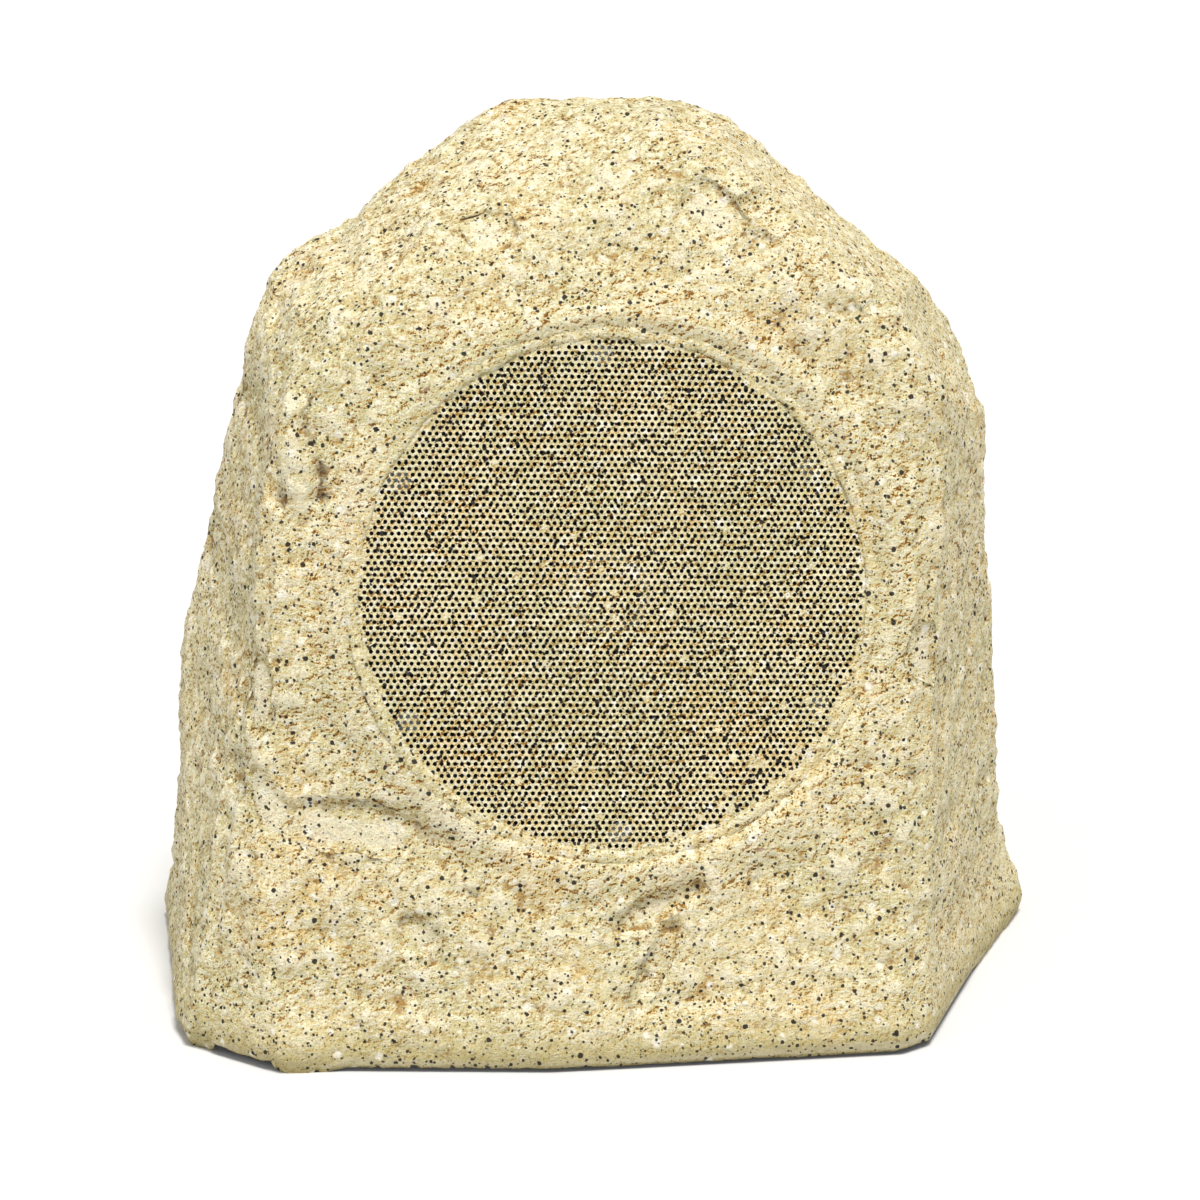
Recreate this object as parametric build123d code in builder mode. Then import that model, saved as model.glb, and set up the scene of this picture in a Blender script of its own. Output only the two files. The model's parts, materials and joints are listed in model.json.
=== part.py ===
from build123d import *
from math import cos, radians, sin
import os
import random

os.makedirs("parts", exist_ok=True)

# Rock shaped garden speaker. Millimetres, +Z up, the grille looks towards -Y, the ground is Z = 0.

# Overall size of the rock
rock_width = 298.0
rock_depth = 266.0
rock_height = 284.0
half_w = rock_width / 2
half_d = rock_depth / 2

# Moulded shell: sharp edges are broken, and chips are struck out of the long ones
wall = 7.0
edge_break = 4.0
soft_angle = 29.0
chip_depth = 6.5
chip_run = 30.0
chip_width = 34.0
chip_turn = 14.0
chip_least = 0.6
chip_place = 0.3
chip_room = 1.5
chip_seed = 7
chisel_proud = 1.0
trough_floor_run = 0.5
trough_floor_width = 0.17
hull_margin = 60.0
shoulder_floor = 26.0

# Front opening, a stepped cup moulded into the leaning front face
toe = 1.0
face_turn = -1.0
face_lean = 15.0
brow_z = rock_height - 54.5
grille_x = -8.5
grille_z = brow_z - 86.0
cup_wall = 5.0
cup_depth = 20.0
cup_floor = 6.0
cup_root = 4.0
cutout_r = 71.0
lip_width = 4.0
lip_depth = 2.0

# Grille, a perforated steel dish pushed into the cup
grille_r = 81.0
grille_sheet = 1.0
grille_recess = 3.0
grille_rim = 7.0
grille_fit = 0.4
grille_turn = -2.4
hole_r = 4.6
hole_pitch = 13.6
hole_field_r = 76.0

# Woofer
flange_r = 79.0
flange_t = 4.0
flange_fit = 0.6
gasket_t = 1.2
gasket_margin = 0.5
surround_seat_r = 71.0
surround_seat = 1.2
surround_t = 0.8
surround_out_r = 65.0
surround_in_r = 57.0
surround_land = 4.0
surround_fit = 0.4
cone_t = 1.0
cone_neck_r = 13.0
cone_depth = 25.8
former_t = 0.4
former_run = 25.2
winding_t = 0.6
winding_run = 10.0
winding_margin = 1.0
pole_gap = 0.5
plate_gap = 0.7
spider_t = 0.6
spider_drop = 27.0
spider_waves = 4
spider_land = 3.0
spider_rise = 1.6
spider_dip = 0.4
basket_tube_r = 38.0
basket_wall = 3.0
basket_web = 2.0
basket_step = 7.0
basket_lip = 8.0
basket_arm = 2.5
window_count = 6
window_circle_r = 54.0
window_wide = 40.0
window_high = 30.0
window_slope = 72.0
window_margin = 1.5
magnet_r = 42.0
magnet_t = 16.0
magnet_gap = 6.0
plate_drop = 9.0
top_plate_t = 5.0
top_plate_margin = 3.0
yoke_t = 5.0
yoke_margin = 4.0
screw_circle_r = 75.0
driver_screws_count = 6
pan_head_r = 3.6
pan_head_h = 2.4

# Tweeter on a post through the woofer's pole
ring_r = 13.0
ring_in_r = 9.5
ring_rise = 1.8
ring_bevel = 0.8
post_r = 3.0
post_fit = 0.4
post_head = 3.0
dome_forward = 3.5
dome_t = 0.4
dome_rise = 3.2
dome_steps = 6
housing_depth = 12.0
housing_wall = 1.2
housing_back_t = 3.0
housing_lip = 0.5
tweeter_magnet_t = 5.0
tweeter_magnet_gap = 2.0

# Base plate and its screws
plate_recess = 2.0
plate_t = 3.0
base_gasket_t = 1.0
rim_t = 3.0
plate_fit = 0.5
screw_r = 2.0
screw_fit = 0.3
thread_fit = 0.05
boss_r = 5.0
boss_top = 24.0
boss_cap = 4.0
base_screw_run = 15.0
gasket_width = 15.0
sink_r = 4.2
head_r = 4.0
slot_long = 5.0
slot_wide = 1.0

# Crossover board on the base plate
board_w = 96.0
board_d = 64.0
board_t = 1.6
board_y = 25.0
board_corner = 3.0
board_inset = 6.0
standoff_r = 4.0
standoff_h = 8.0
board_screw_r = 1.5
board_head_r = 2.8
board_head_h = 2.0
inductor_x = -22.0
inductor_r = 16.0
inductor_bore_r = 6.0
inductor_h = 18.0
parts_x = 16.0
capacitor_w = 32.0
capacitor_d = 15.0
capacitor_h = 22.0
capacitor_corner = 2.0
capacitor_ahead = 14.0
resistor_w = 25.0
resistor_d = 9.0
resistor_behind = 2.0
block_x = 8.0
block_w = 42.0
block_d = 11.0
block_h = 13.0
block_behind = 22.0
block_ways = 4
block_pitch = 10.0
block_hole_r = 2.0
block_hole_depth = 6.0

# Cable gland on a round seat low on the rear
gland_z = 76.0
gland_seat_r = 13.0
gland_seat_y = half_d - 15.5
gland_seat_t = 14.0
gland_thread_r = 6.0
gland_fit = 0.3
cable_bore_r = 3.2
cable_play = 0.4
gland_hex_r = 9.0
gland_flange = 3.0
gland_step = 1.0
spigot_r = 6.5
spigot_h = 8.0
seal_t = 2.5
nut_end_t = 2.0
nut_taper = 30.0
nut_gap = 0.5
locknut_t = 4.0


def facing(azimuth, lean):
    a = radians(azimuth)
    t = radians(lean)
    return Vector(sin(a) * cos(t), -cos(a) * cos(t), sin(t))


def facet(azimuth, lean, x, y, z):
    """A cutting plane: the way it faces round the rock, how far it leans back, a point on it."""
    return Plane(origin=(x, y, z), z_dir=facing(azimuth, lean))


def hewn(planes, inset=0.0, low=0.0, high=rock_height + hull_margin):
    """A block cut from a billet by every plane in turn, each moved inwards by the inset."""
    with BuildPart() as block:
        with Locations((0, 0, low)):
            Box(
                rock_width + hull_margin,
                rock_depth + hull_margin,
                high - low,
                align=(Align.CENTER, Align.CENTER, Align.MIN),
            )
        for plane in planes:
            split(bisect_by=plane.offset(-inset), keep=Keep.BOTTOM)
    return block.part


def sharp_edges(planes):
    """Each sharp edge that stands off the ground, with the way out between its two faces."""
    sides = {}
    for face in hewn(planes).faces():
        for edge in face.edges():
            c = edge.center()
            key = (round(c.X, 2), round(c.Y, 2), round(c.Z, 2))
            sides.setdefault(key, []).append((edge, face.normal_at()))
    found = []
    for meeting in sides.values():
        edge, first = meeting[0]
        second = meeting[-1][1]
        if edge.center().Z > thread_fit and first.get_angle(second) > soft_angle:
            found.append((edge, (first + second).normalized()))
    return found


def broken_edges(planes):
    """The planes again, with one more across every sharp edge."""
    cuts = list(planes)
    for edge, out in sharp_edges(planes):
        cuts.append(Plane(origin=edge.center() - out * edge_break, z_dir=out))
    return cuts


def trough(mouth, run, width, depth, drop=0.0):
    """A hewn hollow under a mouth plane, narrowing to a floor that may drop to one side."""
    with BuildPart() as cut:
        with BuildSketch(mouth.offset(chisel_proud)):
            Rectangle(run, width)
        with BuildSketch(mouth.offset(-depth)):
            with Locations((0, -drop)):
                Rectangle(run * trough_floor_run, width * trough_floor_width)
        loft(ruled=True)
    return cut.part


def edge_chips(planes):
    """One hollow struck out of every long edge, at a place and a slant of its own."""
    chance = random.Random(chip_seed)
    chips = []
    for edge, out in sharp_edges(planes):
        place = chance.uniform(chip_place, 1 - chip_place)
        size = chance.uniform(chip_least, 1.0)
        slant = chance.uniform(-chip_turn, chip_turn)
        if edge.length > chip_room * chip_run and (edge @ place).Z > chip_run:
            mouth = Plane(origin=edge @ place, x_dir=edge @ 1 - edge @ 0, z_dir=out)
            mouth = mouth.rotated((0, slant, slant))
            chips.append(trough(mouth, size * chip_run, chip_width, chip_depth))
    return chips


def chipped_block(planes):
    """A hewn block with its edges broken and chipped."""
    with BuildPart() as block:
        add(hewn(broken_edges(planes)))
        add(edge_chips(planes), mode=Mode.SUBTRACT)
    return block.part


# The rock: a leaning slab, a lower shoulder behind it on the left, a flared foot on the right
front_y = -half_d - toe
front_face = facet(face_turn, face_lean, 0, front_y, 0)
front_n = front_face.z_dir
brow_y = front_y - front_n.Z * brow_z / front_n.Y
left_cheek = facet(-9, 12, -20, front_y - 1.5, 0)
brow_face = facet(-3, 30, 0, brow_y, brow_z)

slab_planes = [
    front_face,
    left_cheek,
    facet(0, 0, 0, -half_d, 0),
    facet(65, 3, half_w - 63.5, front_y, 0),
    facet(97, 3, half_w - 6, 0, 0),
    facet(74, 29, half_w - 42, -5, brow_z - 5),
    facet(75, 51, half_w - 93, -5, rock_height - 19),
    brow_face,
    facet(-43, 67, 90 - half_w, brow_y + 11, brow_z + 20),
    facet(-80, 42, 72 - half_w, 5, rock_height - 27),
    facet(-72, 14, 31 - half_w, brow_y - 7, brow_z - 50),
    facet(-88, 7, 6 - half_w, 0, 0),
    facet(170, 62, 7, 14, rock_height + 4.5),
    facet(176, 32, 0, half_d - 75, rock_height - 46),
    facet(180, 14, 0, half_d, 0),
    facet(138, 10, half_w - 31, half_d - 51, 0),
    facet(120, 40, half_w - 45, half_d - 95, rock_height - 70),
    facet(-140, 12, 39 - half_w, half_d - 39, 0),
    facet(-130, 38, 50 - half_w, half_d - 85, rock_height - 80),
    facet(0, 90, 0, 0, rock_height),
]
shoulder_planes = [
    facet(-90, 4, -half_w, 0, 0),
    facet(-80, 11, 7 - half_w, 5, brow_z - 116),
    facet(-28, 16, 7 - half_w, front_y + 23, 0),
    facet(face_turn, face_lean, 0, front_y + 9, 0),
    facet(-75, 40, 31 - half_w, 5, brow_z + 3),
    facet(-62, 74, 57 - half_w, 5, brow_z + 14),
    facet(180, 16, 0, half_d - 31, 0),
    facet(-132, 14, 21 - half_w, half_d - 65, 0),
    facet(180, 50, 0, half_d - 90, brow_z + 3),
    facet(-3, 30, 0, brow_y + 3, brow_z),
    facet(90, 0, 99 - half_w, 0, 0),
]
foot_planes = [
    facet(62, 15, half_w + 4, 0, 0),
    facet(90, 12, half_w, 0, 0),
    facet(112, 12, half_w + 3, 6, 0),
    facet(75, 60, half_w - 9, 0, 48),
    facet(-90, 0, 0, 0, 0),
    facet(0, 30, 0, 15 - half_d, 0),
    facet(180, 30, 0, half_d - 35, 0),
]

# The lower left corner is broken off slab and shoulder alike, deeper towards the ground
left_corner = facet(-45, 7, 23 - half_w, front_y + 39, brow_z - 119)
slab_cuts = broken_edges(slab_planes) + [left_corner]
shoulder_cuts = broken_edges(shoulder_planes) + [left_corner]


def spot(face, x, z):
    """The spot on a facet at this width and height."""
    o = face.origin
    n = face.z_dir
    return Vector(x, o.Y - (n.X * (x - o.X) + n.Z * (z - o.Z)) / n.Y, z)


def chisel(face, start, end, width, depth, drop=0.0):
    """A trough struck into a facet from one (x, z) spot to another."""
    a = spot(face, *start)
    b = spot(face, *end)
    mouth = Plane(origin=(a + b) / 2, x_dir=b - a, z_dir=face.z_dir)
    return trough(mouth, (b - a).length, width, depth, drop)


# Chisel marks: two hollows in the brow, then on the lower front a ledge on the left with a trough
# running down to it, a hollow under it, and a forked groove on the right
chisel_marks = [
    chisel(brow_face, (18, brow_z + 33), (37, brow_z + 22), width=22, depth=3.0),
    chisel(brow_face, (-62, brow_z + 25), (-40, brow_z + 20), width=18, depth=2.6),
    chisel(left_cheek, (21 - half_w, 92), (37 - half_w, 75), width=13, depth=3.0),
    chisel(left_cheek, (36 - half_w, 79), (78 - half_w, 74), width=16, depth=3.6, drop=4),
    chisel(left_cheek, (70 - half_w, 45), (82 - half_w, 39), width=13, depth=2.6),
    chisel(front_face, (-14, 43), (18, 56), width=8, depth=2.8),
    chisel(front_face, (-8, 17), (6, 43), width=7, depth=2.4),
]

# Inner forms use the same planes, so the wall keeps one thickness
ledge_z = plate_recess + plate_t + base_gasket_t
slab_cavity = hewn(slab_cuts, wall, low=-1.0)
shoulder_cavity = hewn(shoulder_cuts, wall, low=shoulder_floor)
plate_rebate = hewn(slab_cuts, rim_t, low=-1.0, high=ledge_z)

# The driver's axis: radius across, depth inwards from the rock's face
grille_y = spot(front_face, grille_x, grille_z).Y
axis_out = facing(0, face_lean)
baffle = Plane(origin=(grille_x, grille_y, grille_z), x_dir=(1, 0, 0), z_dir=axis_out)
section = Plane(
    origin=(grille_x, grille_y, grille_z),
    x_dir=(1, 0, 0),
    z_dir=(0, -sin(radians(face_lean)), -cos(radians(face_lean))),
)
driver_axis = Axis((grille_x, grille_y, grille_z), axis_out)


def turned(*corners):
    """A body of revolution about the driver's axis from (radius, depth) corners."""
    with BuildPart() as work:
        with BuildSketch(section):
            with BuildLine():
                Polyline(*[(r, -depth) for r, depth in corners], close=True)
            make_face()
        revolve(axis=driver_axis)
    return work.part


# Depths along the driver's axis, all measured inwards from the rock's face
cup_r = grille_r + grille_fit
step_r = flange_r + flange_fit
grille_seat = grille_recess + grille_rim
cup_back = cup_depth + cup_floor
flange_front = cup_depth - gasket_t - flange_t
seat_front = flange_front + surround_seat
cone_front = seat_front
neck_front = cone_front + cone_depth - cone_t
neck_back = cone_front + cone_depth
former_end = neck_back + former_run
spider_seat = cup_depth + spider_drop
plate_front = spider_seat + plate_drop
plate_back = plate_front + top_plate_t
magnet_back = plate_back + magnet_t
yoke_back = magnet_back + yoke_t
former_in_r = cone_neck_r - former_t
pole_r = former_in_r - pole_gap
winding_r = cone_neck_r + winding_t
plate_in_r = winding_r + plate_gap
dome_seat = cup_depth - dome_forward
housing_back = dome_seat + housing_depth

# Screw bosses of the base, standing against the wall
boss_stations = [
    (-15, front_y + 14),
    (37 - half_w, front_y + 27),
    (18 - half_w, -10),
    (91 - half_w, half_d - 12),
    (half_w - 99, half_d - 12),
    (half_w - 21, 30),
    (half_w - 63, front_y + 25),
]
gland_seat = Plane(origin=(0, gland_seat_y, gland_z), x_dir=(1, 0, 0), z_dir=(0, 1, 0))

with BuildPart() as rock_shell:
    add(chipped_block(slab_planes))
    add(chipped_block(shoulder_planes))
    split(bisect_by=left_corner, keep=Keep.BOTTOM)
    add(chipped_block(foot_planes))
    add(slab_cavity, mode=Mode.SUBTRACT)
    add(shoulder_cavity, mode=Mode.SUBTRACT)
    add(plate_rebate, mode=Mode.SUBTRACT)
    add(chisel_marks, mode=Mode.SUBTRACT)
    add(
        turned(
            (0, cup_root),
            (cup_r + cup_wall, cup_root),
            (cup_r + cup_wall, cup_back),
            (0, cup_back),
        )
    )
    add(
        turned(
            (0, -hull_margin),
            (cup_r + 2 * lip_width, -hull_margin),
            (cup_r + 2 * lip_width, -lip_depth),
            (cup_r, lip_depth),
            (cup_r, grille_seat),
            (step_r, grille_seat),
            (step_r, cup_depth),
            (cutout_r, cup_depth),
            (cutout_r, cup_back + 1),
            (0, cup_back + 1),
        ),
        mode=Mode.SUBTRACT,
    )
    with BuildSketch(baffle.offset(-cup_back)):
        with PolarLocations(screw_circle_r, driver_screws_count, start_angle=30):
            Circle(screw_r + thread_fit)
    extrude(amount=cup_floor + 1, mode=Mode.SUBTRACT)
    with BuildSketch(Plane.XY.offset(ledge_z)):
        with Locations(*boss_stations):
            Circle(boss_r)
    extrude(amount=boss_top - ledge_z)
    with BuildSketch(Plane.XY.offset(ledge_z)):
        with Locations(*boss_stations):
            Circle(screw_r + thread_fit)
    extrude(amount=boss_top - ledge_z - boss_cap, mode=Mode.SUBTRACT)
    with BuildSketch(gland_seat):
        Circle(gland_seat_r)
    extrude(amount=-gland_seat_t)
    with BuildSketch(gland_seat):
        Circle(gland_thread_r + gland_fit)
    extrude(amount=-gland_seat_t, mode=Mode.SUBTRACT)

# Grille: the real sheet has holes of 1.3 mm every 2.1 mm; this one keeps the layout at a coarser pitch
rows = int(hole_field_r / hole_pitch) + 1
hole_spots = []
for row in range(-rows, rows + 1):
    for column in range(-rows, rows + 1):
        u = (column + row / 2) * hole_pitch
        v = row * hole_pitch * sin(radians(60))
        if (u**2 + v**2) ** 0.5 + hole_r < hole_field_r:
            hole_spots.append((u, v))

with BuildPart() as grille:
    add(
        turned(
            (0, grille_recess),
            (grille_r, grille_recess),
            (grille_r, grille_seat),
            (grille_r - grille_sheet, grille_seat),
            (grille_r - grille_sheet, grille_recess + grille_sheet),
            (0, grille_recess + grille_sheet),
        )
    )
    with BuildSketch(baffle.offset(-grille_recess - grille_sheet).rotated((0, 0, grille_turn))):
        with Locations(*hole_spots):
            Circle(hole_r)
    extrude(amount=grille_sheet, mode=Mode.SUBTRACT)

# Woofer
with BuildPart() as driver_gasket:
    add(
        turned(
            (cutout_r + gasket_margin, cup_depth - gasket_t),
            (flange_r - gasket_margin, cup_depth - gasket_t),
            (flange_r - gasket_margin, cup_depth),
            (cutout_r + gasket_margin, cup_depth),
        )
    )
    with BuildSketch(baffle.offset(-cup_depth)):
        with PolarLocations(screw_circle_r, driver_screws_count, start_angle=30):
            Circle(screw_r + screw_fit)
    extrude(amount=gasket_t, mode=Mode.SUBTRACT)

basket_shelf_r = basket_tube_r + basket_step
basket_neck_r = basket_tube_r - basket_wall
with BuildPart() as woofer_basket:
    add(
        turned(
            (surround_out_r - surround_fit, seat_front),
            (surround_seat_r, seat_front),
            (surround_seat_r, flange_front),
            (flange_r, flange_front),
            (flange_r, cup_depth - gasket_t),
            (cutout_r - basket_arm, cup_depth - gasket_t),
            (basket_shelf_r, spider_seat - spider_t - basket_web),
            (basket_shelf_r, spider_seat + basket_web),
            (basket_tube_r, spider_seat + basket_web),
            (basket_tube_r, plate_front),
            (basket_tube_r - basket_lip, plate_front),
            (basket_tube_r - basket_lip, plate_front - basket_web),
            (basket_neck_r, plate_front - basket_web),
            (basket_neck_r, spider_seat),
            (basket_shelf_r - basket_wall, spider_seat),
            (basket_shelf_r - basket_wall, spider_seat - basket_wall),
            (surround_out_r - surround_fit, cup_depth),
        )
    )
    window_back = spider_seat - basket_wall - window_margin
    with BuildSketch(baffle.offset(-window_back)):
        with PolarLocations(window_circle_r, window_count, start_angle=0):
            Trapezoid(window_wide, window_high, window_slope, rotation=90)
    extrude(amount=window_back - cup_depth - window_margin, mode=Mode.SUBTRACT)
    with BuildSketch(baffle.offset(-cup_depth)):
        with PolarLocations(screw_circle_r, driver_screws_count, start_angle=30):
            Circle(screw_r + screw_fit)
    extrude(amount=cup_depth - flange_front, mode=Mode.SUBTRACT)

roll_r = (surround_out_r - surround_in_r) / 2
roll_mid = (surround_out_r + surround_in_r) / 2
cone_lip_r = surround_in_r - surround_land
with BuildPart() as woofer_surround:
    with BuildSketch(section):
        with BuildLine():
            back = -seat_front
            front = surround_t - seat_front
            Polyline(
                (roll_mid + roll_r, front),
                (surround_seat_r - surround_fit, front),
                (surround_seat_r - surround_fit, back),
                (roll_mid + roll_r - surround_t, back),
            )
            ThreePointArc(
                (roll_mid + roll_r - surround_t, back),
                (roll_mid, back + roll_r - surround_t),
                (roll_mid - roll_r + surround_t, back),
            )
            Polyline(
                (roll_mid - roll_r + surround_t, back),
                (cone_lip_r, back),
                (cone_lip_r, front),
                (roll_mid - roll_r, front),
            )
            ThreePointArc(
                (roll_mid - roll_r, front),
                (roll_mid, front + roll_r),
                (roll_mid + roll_r, front),
            )
        make_face()
    revolve(axis=driver_axis)

woofer_cone = turned(
    (surround_in_r, cone_front),
    (cone_lip_r, cone_front),
    (cone_neck_r, neck_front),
    (cone_neck_r, neck_back),
    (cone_lip_r, cone_front + cone_t),
    (surround_in_r, cone_front + cone_t),
)
voice_coil_former = turned(
    (former_in_r, neck_front),
    (cone_neck_r, neck_front),
    (cone_neck_r, former_end),
    (former_in_r, former_end),
)
winding_end = former_end - winding_margin
voice_coil_winding = turned(
    (cone_neck_r, winding_end - winding_run),
    (winding_r, winding_end - winding_run),
    (winding_r, winding_end),
    (cone_neck_r, winding_end),
)
spider_in_r = cone_neck_r + spider_land
spider_out_r = basket_neck_r
spider_rim_r = basket_shelf_r - basket_wall - surround_fit
wave = (spider_out_r - spider_in_r) / (2 * spider_waves)
crests = []
for k in range(1, 2 * spider_waves):
    crests.append((spider_in_r + k * wave, spider_seat + (-spider_rise if k % 2 else spider_dip)))
woofer_spider = turned(
    (cone_neck_r, spider_seat - spider_t),
    (spider_in_r, spider_seat - spider_t),
    *[(r, depth - spider_t) for r, depth in crests],
    (spider_out_r, spider_seat - spider_t),
    (spider_rim_r, spider_seat - spider_t),
    (spider_rim_r, spider_seat),
    (spider_out_r, spider_seat),
    *[(r, depth) for r, depth in reversed(crests)],
    (spider_in_r, spider_seat),
    (cone_neck_r, spider_seat),
)
top_plate = turned(
    (plate_in_r, plate_front),
    (magnet_r - top_plate_margin, plate_front),
    (magnet_r - top_plate_margin, plate_back),
    (plate_in_r, plate_back),
)
woofer_magnet = turned(
    (plate_in_r + magnet_gap, plate_back),
    (magnet_r, plate_back),
    (magnet_r, magnet_back),
    (plate_in_r + magnet_gap, magnet_back),
)
pole_bore_r = post_r + post_fit
pole_yoke = turned(
    (pole_bore_r, plate_front),
    (pole_r, plate_front),
    (pole_r, magnet_back),
    (magnet_r - yoke_margin, magnet_back),
    (magnet_r - yoke_margin, yoke_back),
    (pole_bore_r, yoke_back),
)
with BuildPart() as driver_screws:
    with BuildSketch(baffle.offset(-flange_front)):
        with PolarLocations(screw_circle_r, driver_screws_count, start_angle=30):
            Circle(pan_head_r)
    extrude(amount=pan_head_h)
    with BuildSketch(baffle.offset(-flange_front)):
        with PolarLocations(screw_circle_r, driver_screws_count, start_angle=30):
            Circle(screw_r)
    extrude(amount=-(cup_back - flange_front))

# Tweeter
housing_r = ring_r + housing_lip
housing_floor = housing_back - housing_back_t
tweeter_post = turned(
    (0, housing_floor),
    (post_r, housing_floor),
    (post_r, yoke_back),
    (post_r + post_head, yoke_back),
    (post_r + post_head, yoke_back + post_head),
    (0, yoke_back + post_head),
)
tweeter_housing = turned(
    (housing_r - housing_wall, dome_seat),
    (housing_r, dome_seat),
    (housing_r, housing_back),
    (post_r, housing_back),
    (post_r, housing_floor),
    (housing_r - housing_wall, housing_floor),
)
tweeter_magnet = turned(
    (0, housing_floor - tweeter_magnet_t),
    (housing_r - tweeter_magnet_gap, housing_floor - tweeter_magnet_t),
    (housing_r - tweeter_magnet_gap, housing_floor),
    (0, housing_floor),
)
dome_curve = []
for k in range(dome_steps + 1):
    r = ring_in_r * k / dome_steps
    dome_curve.append((r, dome_seat - dome_rise * (1 - (r / ring_in_r) ** 2)))
tweeter_dome = turned(
    *[(r, depth - dome_t) for r, depth in dome_curve],
    (ring_r, dome_seat - dome_t),
    (ring_r, dome_seat),
    *reversed(dome_curve),
)
ring_back = dome_seat - dome_t
ring_front = ring_back - ring_rise
ring_throat_r = ring_in_r + dome_t
tweeter_ring = turned(
    (ring_throat_r, ring_back),
    (ring_throat_r, ring_front + ring_bevel),
    (ring_throat_r + ring_bevel, ring_front),
    (ring_r - ring_bevel, ring_front),
    (ring_r, ring_front + ring_bevel),
    (ring_r, ring_back),
)

# Base plate, sealed on a flat gasket under the ledge
plate_top = plate_recess + plate_t
gasket_inset = rim_t + plate_fit
board_reach_x = board_w / 2 - board_inset
board_reach_y = board_d / 2 - board_inset
board_stations = [
    (-board_reach_x, board_y - board_reach_y),
    (board_reach_x, board_y - board_reach_y),
    (-board_reach_x, board_y + board_reach_y),
    (board_reach_x, board_y + board_reach_y),
]
with BuildPart() as base_plate:
    add(hewn(slab_cuts, gasket_inset, low=plate_recess, high=plate_top))
    with BuildSketch(Plane.XY.offset(plate_top)):
        with Locations(*board_stations):
            Circle(standoff_r)
    extrude(amount=standoff_h)
    with BuildSketch(Plane.XY.offset(plate_top)):
        with Locations(*board_stations):
            Circle(board_screw_r + thread_fit)
    extrude(amount=standoff_h, mode=Mode.SUBTRACT)
    for x, y in boss_stations:
        with Locations(Location((x, y, plate_recess), (180, 0, 0))):
            CounterSinkHole(screw_r + screw_fit, sink_r, depth=ledge_z, counter_sink_angle=90)

with BuildPart() as base_gasket:
    add(hewn(slab_cuts, gasket_inset, low=plate_top, high=ledge_z))
    add(hewn(slab_cuts, gasket_inset + gasket_width, low=plate_recess, high=boss_top), mode=Mode.SUBTRACT)
    with BuildSketch(Plane.XY.offset(plate_top)):
        with Locations(*boss_stations):
            Circle(screw_r + screw_fit)
    extrude(amount=base_gasket_t, mode=Mode.SUBTRACT)

head_face = plate_recess + sink_r - head_r
with BuildPart() as base_screws:
    with Locations(*[(x, y, head_face) for x, y in boss_stations]):
        Cone(head_r, screw_r, head_r - screw_r, align=(Align.CENTER, Align.CENTER, Align.MIN))
        Cylinder(screw_r, base_screw_run, align=(Align.CENTER, Align.CENTER, Align.MIN))
        Box(
            slot_long,
            slot_wide,
            slot_wide,
            align=(Align.CENTER, Align.CENTER, Align.MIN),
            mode=Mode.SUBTRACT,
        )

# Crossover on the base plate
board_z = plate_top + standoff_h
parts_z = board_z + board_t
with BuildPart() as crossover_board:
    with BuildSketch(Plane.XY.offset(board_z)):
        with Locations((0, board_y)):
            RectangleRounded(board_w, board_d, board_corner)
        with Locations(*board_stations):
            Circle(board_screw_r + screw_fit, mode=Mode.SUBTRACT)
    extrude(amount=board_t)

with BuildPart() as board_screws:
    with BuildSketch(Plane.XY.offset(parts_z)):
        with Locations(*board_stations):
            Circle(board_head_r)
    extrude(amount=board_head_h)
    with BuildSketch(Plane.XY.offset(parts_z)):
        with Locations(*board_stations):
            Circle(board_screw_r)
    extrude(amount=-(board_t + standoff_h - board_head_h))

with BuildPart() as crossover_inductor:
    with BuildSketch(Plane.XY.offset(parts_z)):
        with Locations((inductor_x, board_y)):
            Circle(inductor_r)
            Circle(inductor_bore_r, mode=Mode.SUBTRACT)
    extrude(amount=inductor_h)

with BuildPart() as crossover_capacitor:
    with BuildSketch(Plane.XY.offset(parts_z)):
        with Locations((parts_x, board_y + capacitor_ahead)):
            RectangleRounded(capacitor_w, capacitor_d, capacitor_corner)
    extrude(amount=capacitor_h)

with BuildPart() as crossover_resistor:
    with BuildSketch(Plane.XY.offset(parts_z)):
        with Locations((parts_x, board_y - resistor_behind)):
            Rectangle(resistor_w, resistor_d)
    extrude(amount=resistor_d)

block_y = board_y - block_behind
with BuildPart() as terminal_block:
    with BuildSketch(Plane.XY.offset(parts_z)):
        with Locations((block_x, block_y)):
            Rectangle(block_w, block_d)
    extrude(amount=block_h)
    with BuildSketch(Plane.XY.offset(parts_z + block_h)):
        with Locations((block_x, block_y)):
            with GridLocations(block_pitch, 0, block_ways, 1):
                Circle(block_hole_r)
    extrude(amount=-block_hole_depth, mode=Mode.SUBTRACT)

# Cable gland: body through the seat, locknut inside, seal pressed on the body's mouth by a cap nut
thread_end = gland_seat_t + locknut_t + gland_step
with BuildPart() as gland_body:
    with BuildSketch(gland_seat):
        RegularPolygon(gland_hex_r + gland_step, 6)
    extrude(amount=gland_flange)
    with BuildSketch(gland_seat):
        Circle(spigot_r)
    extrude(amount=spigot_h)
    with BuildSketch(gland_seat):
        Circle(gland_thread_r)
    extrude(amount=-thread_end)
    with BuildSketch(gland_seat.offset(-thread_end)):
        Circle(cable_bore_r + cable_play)
    extrude(amount=thread_end + spigot_h, mode=Mode.SUBTRACT)

with BuildPart() as gland_locknut:
    with BuildSketch(gland_seat.offset(-gland_seat_t)):
        RegularPolygon(gland_hex_r + gland_step, 6)
        Circle(gland_thread_r + thread_fit, mode=Mode.SUBTRACT)
    extrude(amount=-locknut_t)

with BuildPart() as gland_seal:
    with BuildSketch(gland_seat.offset(spigot_h)):
        Circle(spigot_r)
        Circle(cable_bore_r, mode=Mode.SUBTRACT)
    extrude(amount=seal_t)

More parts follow.
